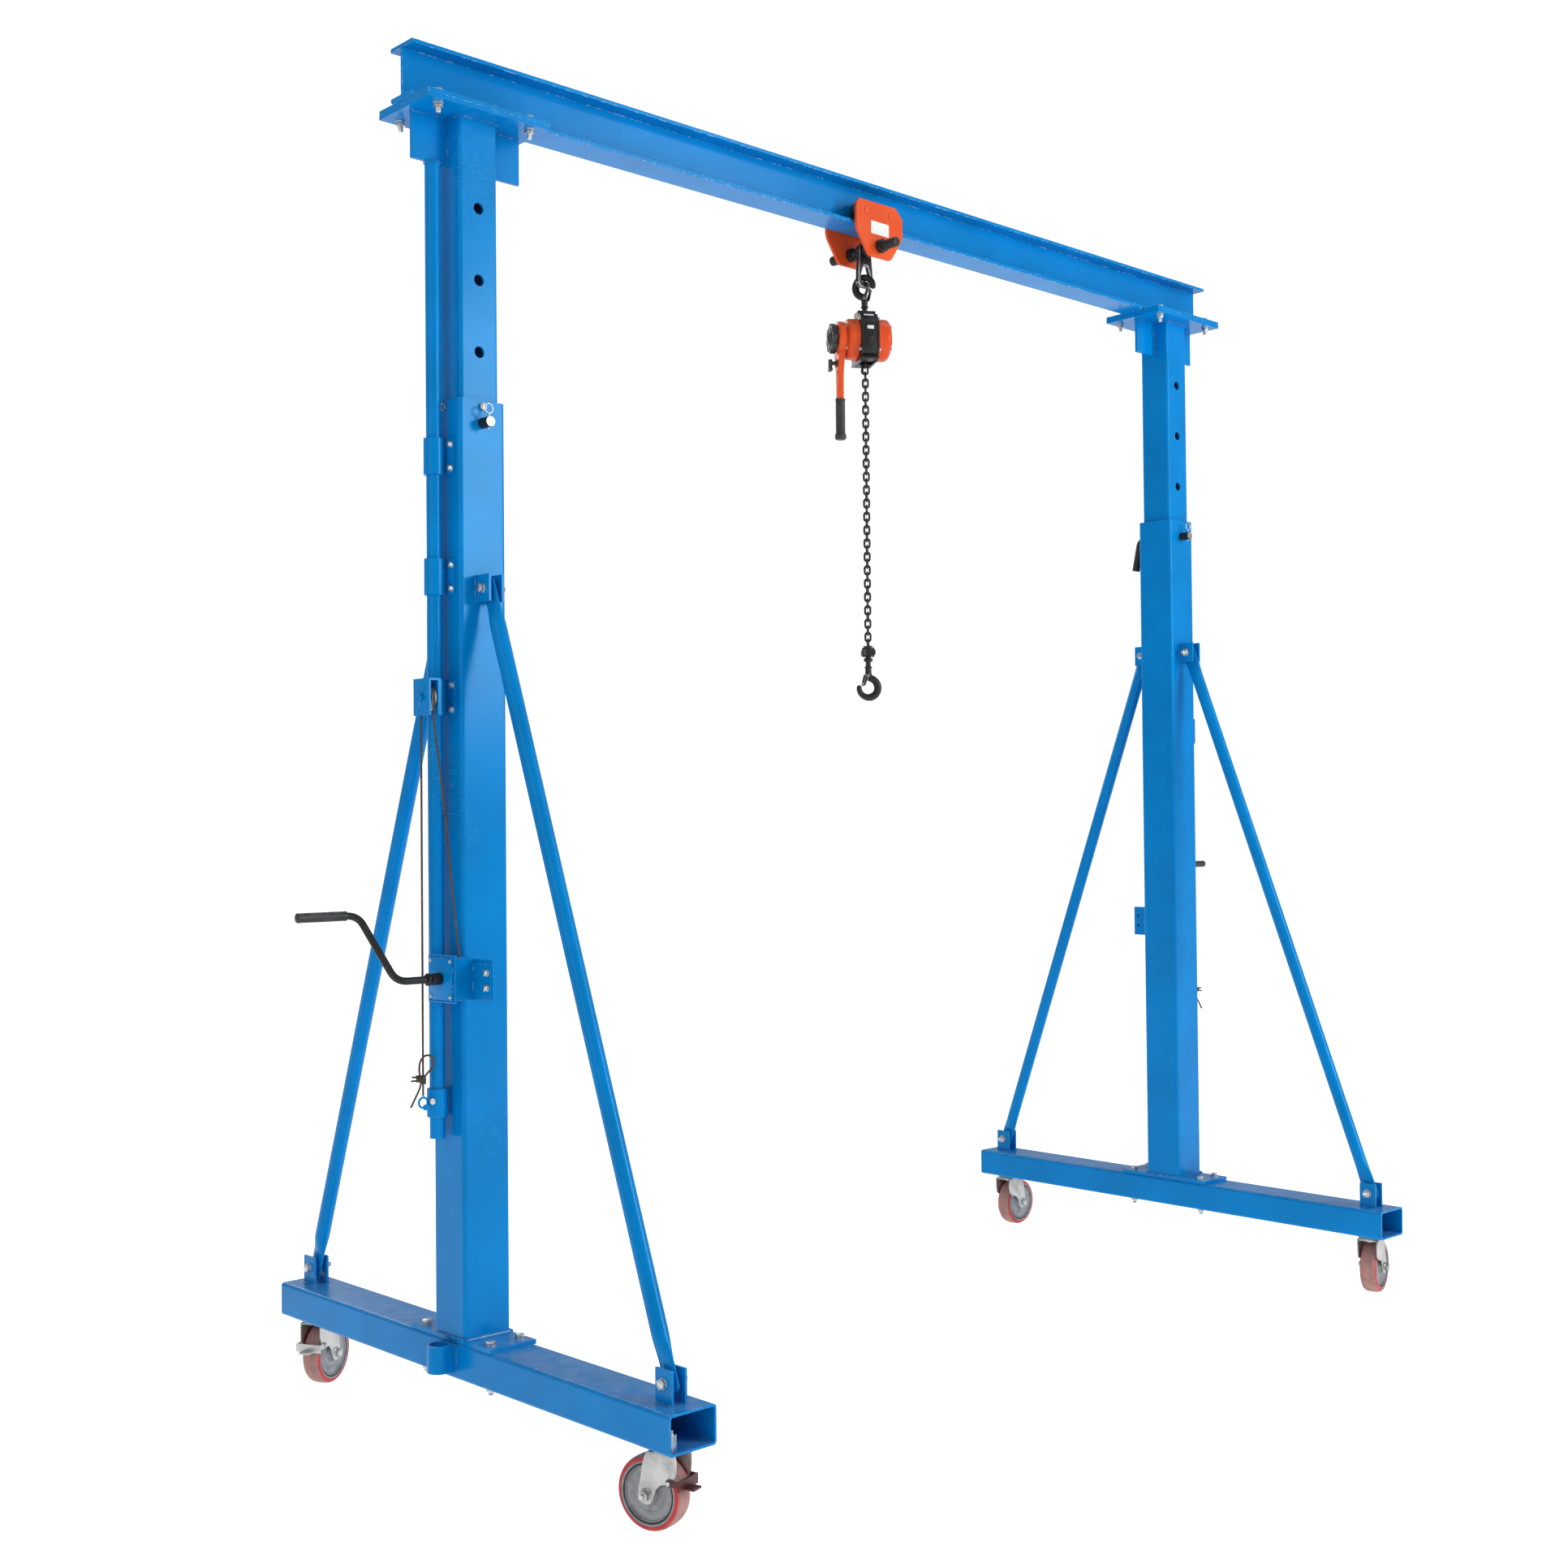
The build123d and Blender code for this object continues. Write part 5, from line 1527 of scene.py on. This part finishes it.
@dataclass
class Hoist:
    """The lever chain hoist between its top hook and its load hook."""

    finishes: Finishes
    x: float = TROLLEY_X
    hook_z: float = 2.8178
    shaft_z: float = 2.675
    load_hook_z: float = 1.738
    block_top: float = 1.847
    chain_top: float = 2.657
    links: int = 45
    pitch: float = 0.018
    wire: float = 0.00295
    ring: float = 0.026
    heading: float = -31.0
    top_heading: float = -70.0
    load_heading: float = -30.0

    @property
    def shaft(self) -> Matrix:
        """The hoist's own frame: X along its shaft, toward the gear cover."""
        return headed((self.x, 0, self.shaft_z), self.heading)

    def along(self, start: float, way: int) -> Matrix:
        """A frame on the shaft whose Z looks outward.

        Args:
            start: Where along the shaft.
            way: 1 toward the gear cover, -1 toward the handwheel.

        Returns:
            The matrix.
        """
        return basis(Vector((start, 0, 0)), Vector((way, 0, 0)))

    def build(self) -> None:
        """Builds the hoist."""
        f = self.finishes
        dress("hoist_frame", f.black, f.cut, 0.0016)
        dress("load_hook_block", f.black, f.cut, 0.0018)
        for latch in ("top_hook_latch", "load_hook_latch"):
            dress(latch, f.black, f.cut, 0.0012)
        self.forged_hook("top", headed((self.x, 0, self.hook_z), self.top_heading), 1)
        self.forged_hook("load", headed((self.x, 0, self.load_hook_z), self.load_heading), -1)
        self.covers()
        self.frame_bolts()
        self.frame_band()
        self.lever()
        self.selector()
        self.handwheel()
        self.chain()

    def forged_hook(self, which: str, place: Matrix, way: int) -> None:
        """A tapered forged hook with its stem and latch pin.

        Args:
            which: top or load.
            place: Its centre and heading.
            way: 1 for a hook that stands up, -1 for one that hangs.
        """
        bench = Bench(place)
        points = [Vector((0, 0, -way * z)) for z in (0.058, 0.046, 0.036)]
        radii = [0.0072, 0.0086, 0.0092]
        steps = 44
        for k in range(2, steps + 1):
            share = k / steps
            angle = math.radians(-90 - 270 * share)
            x, z = self.ring * math.cos(angle), self.ring * math.sin(angle)
            points.append(Vector((way * x, 0, way * z)))
            swell = 0.0009 * math.sin(math.pi * min(1.0, share * 1.25))
            taper = 0.0024 * max(0, share - 0.6) / 0.4
            radii.append(0.0094 + swell - taper)
        tip = points[-1]
        points += [tip + Vector((way * x, 0, -way * z)) for x, z in ((0.0006, 0.004), (0.001, 0.0065))]
        radii += [0.0058, 0.003]
        bench.tube(points, radii, 20)
        low = basis(Vector((0, 0, -way * 0.056)), Vector((0, 0, -way)))
        reach = 0.0181 if way == 1 else 0.014
        bench.turned(((0.0, -0.004), (0.0095, -0.004), (0.0103, -0.0025), (0.0103, 0.0), (0.007, 0.0018),
                      (0.007, reach)), low, 32)
        if way == 1:
            bench.turned(((0.007, reach), (0.0125, reach), (0.013, reach + 0.001), (0.013, 0.0252),
                          (0.0, 0.0261)), low, 32)
        else:
            bench.turned(((0.007, reach), (0.0112, reach + 0.0002), (0.012, reach + 0.0015), (0.012, 0.0222),
                          (0.0112, 0.0232), (0.007, 0.0234), (0.007, 0.0338), (0.0, 0.034)), low, 32)
        pin = [Vector((way * 0.004, y, -way * 0.031)) for y in (-0.0118, 0.0118)]
        bench.tube(pin, 0.0019, 12, material=1)
        for end in (-1, 1):
            head = basis(Vector((way * 0.004, end * 0.0112, -way * 0.031)), Vector((0, end, 0)))
            bench.turned(((0.0, 0.0), (0.0032, 0.0), (0.003, 0.0012), (0.0, 0.0016)), head, 16, 1)
        bench.piece(f"forged_{which}_hook", f"{which}_hook", [self.finishes.black, self.finishes.cut],
                    Slot.BLACK, [f"{which}_hook"])

    def covers(self) -> None:
        """The gear cover and the brake cover."""
        f = self.finishes
        bench = Bench(self.shaft)
        bench.turned(((0.0, 0.0), (0.0575, 0.0), (0.0592, 0.0012), (0.0592, 0.0062), (0.0575, 0.0075),
                      (0.0562, 0.009), (0.0562, 0.0275), (0.0545, 0.0325), (0.0505, 0.0365), (0.0455, 0.0392),
                      (0.032, 0.0402), (0.0305, 0.0408), (0.0268, 0.0448), (0.024, 0.0459), (0.0075, 0.0462),
                      (0.0062, 0.0446), (0.0, 0.0446)), self.along(0.024, 1), 64)
        bench.piece("pressed_gear_cover", "hoist", [f.orange, f.orange_edge], Slot.ORANGE,
                    ["hoist_gear_cover"])
        bench = Bench(self.shaft)
        bench.turned(((0.0, 0.0), (0.0555, 0.0), (0.057, 0.0012), (0.057, 0.0055), (0.0556, 0.007),
                      (0.0545, 0.0082), (0.0545, 0.0225), (0.053, 0.0272), (0.049, 0.0305), (0.0432, 0.032),
                      (0.0405, 0.0322), (0.0398, 0.0352), (0.0385, 0.036), (0.0, 0.036)),
                     self.along(-0.024, -1), 64)
        bench.turned(((0.011, 0.035), (0.011, 0.0748), (0.0098, 0.076), (0.0, 0.076)), self.along(-0.024, -1),
                     32, 1)
        bench.piece("pressed_brake_cover", "hoist", [f.orange, f.cut], Slot.ORANGE, ["hoist_brake_cover"])

    def frame_bolts(self) -> None:
        """The bright bolts round each cover and at the frame's corners."""
        f = self.finishes
        bench = Bench(self.shaft)
        screw = Bolt(0.0028, 0.0085, 0.0)
        for way, radius, start in ((1, 0.0515, 0.0605), (-1, 0.0495, -0.0535)):
            for k in range(4):
                a = FULL_TURN * (k + 0.5) / 4
                spot = Vector((way * (abs(start) + 0.001), radius * 0.8 * math.cos(a),
                               radius * 0.8 * math.sin(a)))
                screw.add(bench, spot, spot - Vector((way * 0.01, 0, 0)))
        for y, z in ((0.046, 0.046), (-0.046, 0.046), (0.052, -0.036), (-0.052, -0.036)):
            for way in (-1, 1):
                spot = Vector((way * 0.024, y, z))
                screw.add(bench, spot, spot - Vector((way * 0.01, 0, 0)))
        bench.piece("hoist_frame_bolts", "hoist", [f.zinc], Slot.ZINC)

    def frame_band(self) -> None:
        """The black band over each side of the frame, with its lug and blank plates."""
        f = self.finishes
        middle = across_x(0)
        band, label = Bench(self.shaft), Bench(self.shaft)
        skin = ((0.0300, 0.0612), (0.0395, 0.0612), (0.0610, 0.0357), (0.0610, -0.0397), (0.0455, -0.0590),
                (0.0438, -0.0577), (0.0592, -0.0388), (0.0592, 0.0349), (0.0387, 0.0594), (0.0300, 0.0594))
        strip = ((0.0411, 0.0604), (0.0446, 0.0563), (0.0440, 0.0558), (0.0405, 0.0599))
        small = ((0.0613, 0.0250), (0.0618, 0.0250), (0.0618, 0.0160), (0.0613, 0.0160))
        for way in (-1, 1):
            band.plate([(way * y, z) for y, z in skin], 0.0358, middle, 0.0004)
            for outline, wide in ((strip, 0.0270), (small, 0.0180)):
                label.plate([(way * y, z) for y, z in outline], wide, middle, 0.0002)
            lug = basis(Vector((0, way * 0.0608, -0.008)), Vector((0, way, 0)))
            band.turned(((0.0, 0.0), (0.0075, 0.0), (0.0075, 0.0012), (0.0060, 0.0024), (0.0, 0.0027)), lug,
                        28)
        band.piece("black_frame_band", "hoist", [f.black], Slot.BLACK)
        label.piece("blank_rating_plate", "hoist", [f.label], Slot.BLACK)

    def lever(self) -> None:
        """The ratchet head, the ribbed arm and the grip."""
        f = self.finishes
        bench = Bench(self.shaft)
        bench.turned(((0.01105, 0.0364), (0.044, 0.0364), (0.0455, 0.0376), (0.046, 0.040), (0.046, 0.052),
                      (0.0448, 0.0545), (0.0425, 0.056), (0.030, 0.056), (0.028, 0.0548), (0.01105, 0.0548),
                      (0.01105, 0.0364)), self.along(-0.024, -1), 56)
        middle = -0.024 - 0.0462
        arm = ((-0.031, -0.026), (0.031, -0.026), (0.027, -0.052), (0.0215, -0.070), (0.0165, -0.088),
               (0.0145, -0.104), (0.0135, -0.13), (0.0125, -0.166), (-0.0125, -0.166), (-0.0135, -0.13),
               (-0.0145, -0.104), (-0.0165, -0.088), (-0.0215, -0.070), (-0.027, -0.052))
        bench.plate(arm, 0.0165, across_x(middle), 0.0032)
        ridge = ((-0.0052, -0.082), (0.0052, -0.082), (0.0042, -0.16), (-0.0042, -0.16))
        bench.plate(ridge, 0.0198, across_x(middle), 0.0022)
        bench.piece("ribbed_lever", "lever", [f.orange], Slot.ORANGE, ["hoist_lever"])
        bench = Bench(self.shaft)
        grip: list[Pair] = [(0.0, 0.0), (0.0118, 0.0), (0.0136, 0.0012), (0.0138, 0.0055), (0.0126, 0.007)]
        for k in range(12):
            start = 0.009 + k * 0.0068
            grip += [(0.0122, start), (0.0129, start + 0.0014), (0.0129, start + 0.0044),
                     (0.0122, start + 0.0058)]
        grip += [(0.0132, 0.0935), (0.0152, 0.098), (0.0156, 0.103), (0.0148, 0.108), (0.012, 0.1108),
                 (0.0, 0.1118)]
        bench.turned(grip, basis(Vector((middle, 0, -0.1605)), Vector((0, 0, -1))), 36)
        bench.piece("lever_grip", "lever", [f.grip], Slot.PLASTIC)

    def selector(self) -> None:
        """The T-shaped direction selector."""
        bench = Bench(self.shaft)
        face = -0.0805
        stem = basis(Vector((face, 0, -0.066)), Vector((-1, 0, 0)))
        bench.turned(((0.0, 0.0), (0.0115, 0.0), (0.0115, 0.0018), (0.0055, 0.0028), (0.005, 0.0115),
                      (0.0, 0.0115)), stem, 28)
        tee = ((-0.011, -0.0875), (0.011, -0.0875), (0.011, -0.0815), (0.0048, -0.079), (0.0048, -0.064),
               (0.0062, -0.058), (0.003, -0.0558), (-0.003, -0.0558), (-0.0062, -0.058), (-0.0048, -0.064),
               (-0.0048, -0.079), (-0.011, -0.0815))
        bench.plate(tee, 0.0098, across_x(face - 0.0162), 0.0014)
        bench.piece("selector_tee", "selector", [self.finishes.grip], Slot.PLASTIC, ["lever_selector"])

    def handwheel(self) -> None:
        """The lobed handwheel."""
        bench = Bench(self.shaft)
        rim = []
        for k in range(96):
            a = FULL_TURN * k / 96
            r = 0.0378 + 0.0028 * math.cos(8 * a)
            rim.append((r * math.cos(a), r * math.sin(a)))
        where = self.along(-0.0905, -1)
        bench.plate(rim, 0.0165, where, 0.0034)
        dish = self.along(-0.0988, -1)
        bench.turned(((0.0, 0.0), (0.0285, 0.0), (0.0285, 0.0016), (0.0262, 0.0024), (0.0225, 0.0008),
                      (0.0165, 0.0006), (0.0152, 0.0028), (0.0142, 0.0046), (0.0085, 0.0052), (0.0, 0.0052)),
                     dish, 48)
        bench.piece("lobed_handwheel", "handwheel", [self.finishes.grip], Slot.PLASTIC, ["hoist_handwheel"])
        bench = Bench(self.shaft)
        bench.hexagon(0.016, dish, 0.0052, 0.0088)
        bench.piece("handwheel_nut", "handwheel", [self.finishes.zinc], Slot.ZINC)

    def chain(self) -> None:
        """The welded load chain, built as a fixed run of links that rides on no body."""
        bench = Bench()
        wide, run = 0.007, 0.005
        for k in range(self.links):
            z = self.chain_top - self.pitch * (k + 0.5)
            drift = 6.0 * math.sin(k * 0.9) + 3.0 * math.sin(k * 2.3)
            turn = headed((self.x, 0, z), 45 + 90 * (k % 2) + drift)
            points, radii = [], []
            for q in range(24):
                a = FULL_TURN * q / 24
                up = run if math.sin(a) >= 0 else -run
                points.append(turn @ Vector((wide * math.cos(a), 0, up + wide * math.sin(a))))
                radii.append(self.wire * (1.1 if q == 0 else 1.0))
            bench.tube(points, radii, 10, closed=True)
        made = bench.piece("welded_load_chain", "hoist", [self.finishes.black], Slot.BLACK, ["load_chain"],
                           1.2)
        made.parent = None
        del made["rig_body"]
        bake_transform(made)


@dataclass
class Studio:
    """Floor, light and camera."""

    spot: Point = (-3.702, -3.568, 1.383)
    heading: float = 43.16
    pitch: float = 1.11
    roll: float = -0.537
    lens: float = 43.74
    lights: tuple[tuple[Point, float, float], ...] = field(default_factory=lambda: (
        ((2.9, -6.4, 3.3), 2.6, 235.0),
        ((4.6, -6.4, 5.8), 1.8, 45.0),
        ((-6.5, -1.5, 3.4), 4.0, 60.0),
        ((0.5, 6.5, 4.5), 4.0, 110.0),
        ((0.0, 0.0, 8.5), 5.0, 85.0),
    ))

    def build(self) -> None:
        """Sets the scene."""
        self.floor()
        self.light()
        self.camera()

    def floor(self) -> None:
        """A plain pale floor."""
        bench = bmesh.new()
        bmesh.ops.create_grid(bench, x_segments=2, y_segments=2, size=40)
        mesh = bpy.data.meshes.new("studio_floor")
        bench.to_mesh(mesh)
        bench.free()
        floor = bpy.data.objects.new("studio_floor", mesh)
        bpy.context.scene.collection.objects.link(floor)
        g = Graph("pale_floor")
        spray = g.shared(SPRAY, 0.6)
        colour = g.ramp(spray.outputs["Cloud"], ((0.3, (0.86, 0.86, 0.86)), (0.7, (0.9, 0.9, 0.9))))
        rough = g.span(spray.outputs["Cloud"], (0.3, 0.7), (0.75, 0.85))
        g.shader.inputs["Emission Color"].default_value = (1, 1, 1, 1)
        seen = g.add("ShaderNodeLightPath")
        g.join(g.span(seen.outputs["Is Camera Ray"], (0.0, 1.0), (0.5, 0.8)),
               g.shader.inputs["Emission Strength"])
        mesh.materials.append(g.finish(colour, rough, g.bump(spray.outputs["Peel"], 0.02, 0.001)))
        floor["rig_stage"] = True

    def light(self) -> None:
        """Soft lights and a pale surround."""
        for k, (spot, size, power) in enumerate(self.lights):
            lamp = bpy.data.lights.new(f"soft_light_{k}", "AREA")
            lamp.size = size
            lamp.energy = power
            holder = bpy.data.objects.new(f"soft_light_{k}", lamp)
            bpy.context.scene.collection.objects.link(holder)
            aim = Vector((0, 0, 1.5)) - Vector(spot)
            holder.matrix_world = Matrix.Translation(spot) @ aim.to_track_quat("-Z", "Y").to_matrix().to_4x4()
        world = bpy.data.worlds.new("studio")
        bpy.context.scene.world = world
        world.use_nodes = True
        nodes, links = world.node_tree.nodes, world.node_tree.links
        shade = nodes["Background"]
        shade.inputs["Color"].default_value = (0.97, 0.98, 1.0, 1)
        path, mix = nodes.new("ShaderNodeLightPath"), nodes.new("ShaderNodeMapRange")
        mix.inputs["To Min"].default_value = 0.4
        mix.inputs["To Max"].default_value = 1.1
        links.new(path.outputs["Is Camera Ray"], mix.inputs["Value"])
        links.new(mix.outputs["Result"], shade.inputs["Strength"])
        bpy.context.scene.view_settings.view_transform = "Standard"

    def camera(self) -> None:
        """The camera, level but for a small roll."""
        yaw, pitch, roll = (math.radians(a) for a in (self.heading, self.pitch, self.roll))
        ahead = Vector((math.sin(yaw) * math.cos(pitch), math.cos(yaw) * math.cos(pitch), math.sin(pitch)))
        right = ahead.cross(Vector((0, 0, 1))).normalized()
        up = right.cross(ahead)
        axis_x = math.cos(roll) * right + math.sin(roll) * up
        axis_y = -math.sin(roll) * right + math.cos(roll) * up
        lens = bpy.data.cameras.new("camera")
        lens.lens = self.lens
        lens.sensor_width = 36
        lens.clip_start, lens.clip_end = 0.05, 200
        holder = bpy.data.objects.new("camera", lens)
        bpy.context.scene.collection.objects.link(holder)
        turn = Matrix((axis_x, axis_y, -ahead)).transposed().to_4x4()
        holder.matrix_world = Matrix.Translation(self.spot) @ turn
        bpy.context.scene.camera = holder


def corners(box: tuple[Vector, Vector]) -> list[list[float]]:
    """A box as plain lists."""
    return [list(corner) for corner in box]


def main() -> None:
    """Builds every sub-assembly in order."""
    logging.basicConfig(level=logging.INFO, format="%(message)s")
    cad = corners(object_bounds())
    finishes = Finishes()
    Leg(Side.LEFT, finishes, 46.0).build()
    Leg(Side.RIGHT, finishes, 113.0).build()
    corner_spots = {
        "left_front": ((-LEG_X, -0.68), 106.6, True),
        "left_rear": ((-LEG_X, 0.68), 28.0, True),
        "right_front": ((LEG_X, -0.68), 14.0, False),
        "right_rear": ((LEG_X, 0.68), 3.0, False),
    }
    for name, (spot, yaw, braked) in corner_spots.items():
        Caster(name, spot, yaw, finishes, braked).build()
    Bridge(finishes).build()
    Trolley(finishes).build()
    Hoist(finishes).build()
    Studio().build()
    {"cad": cad, "visual": corners(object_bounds())}


if __name__ == "__main__":
    main()
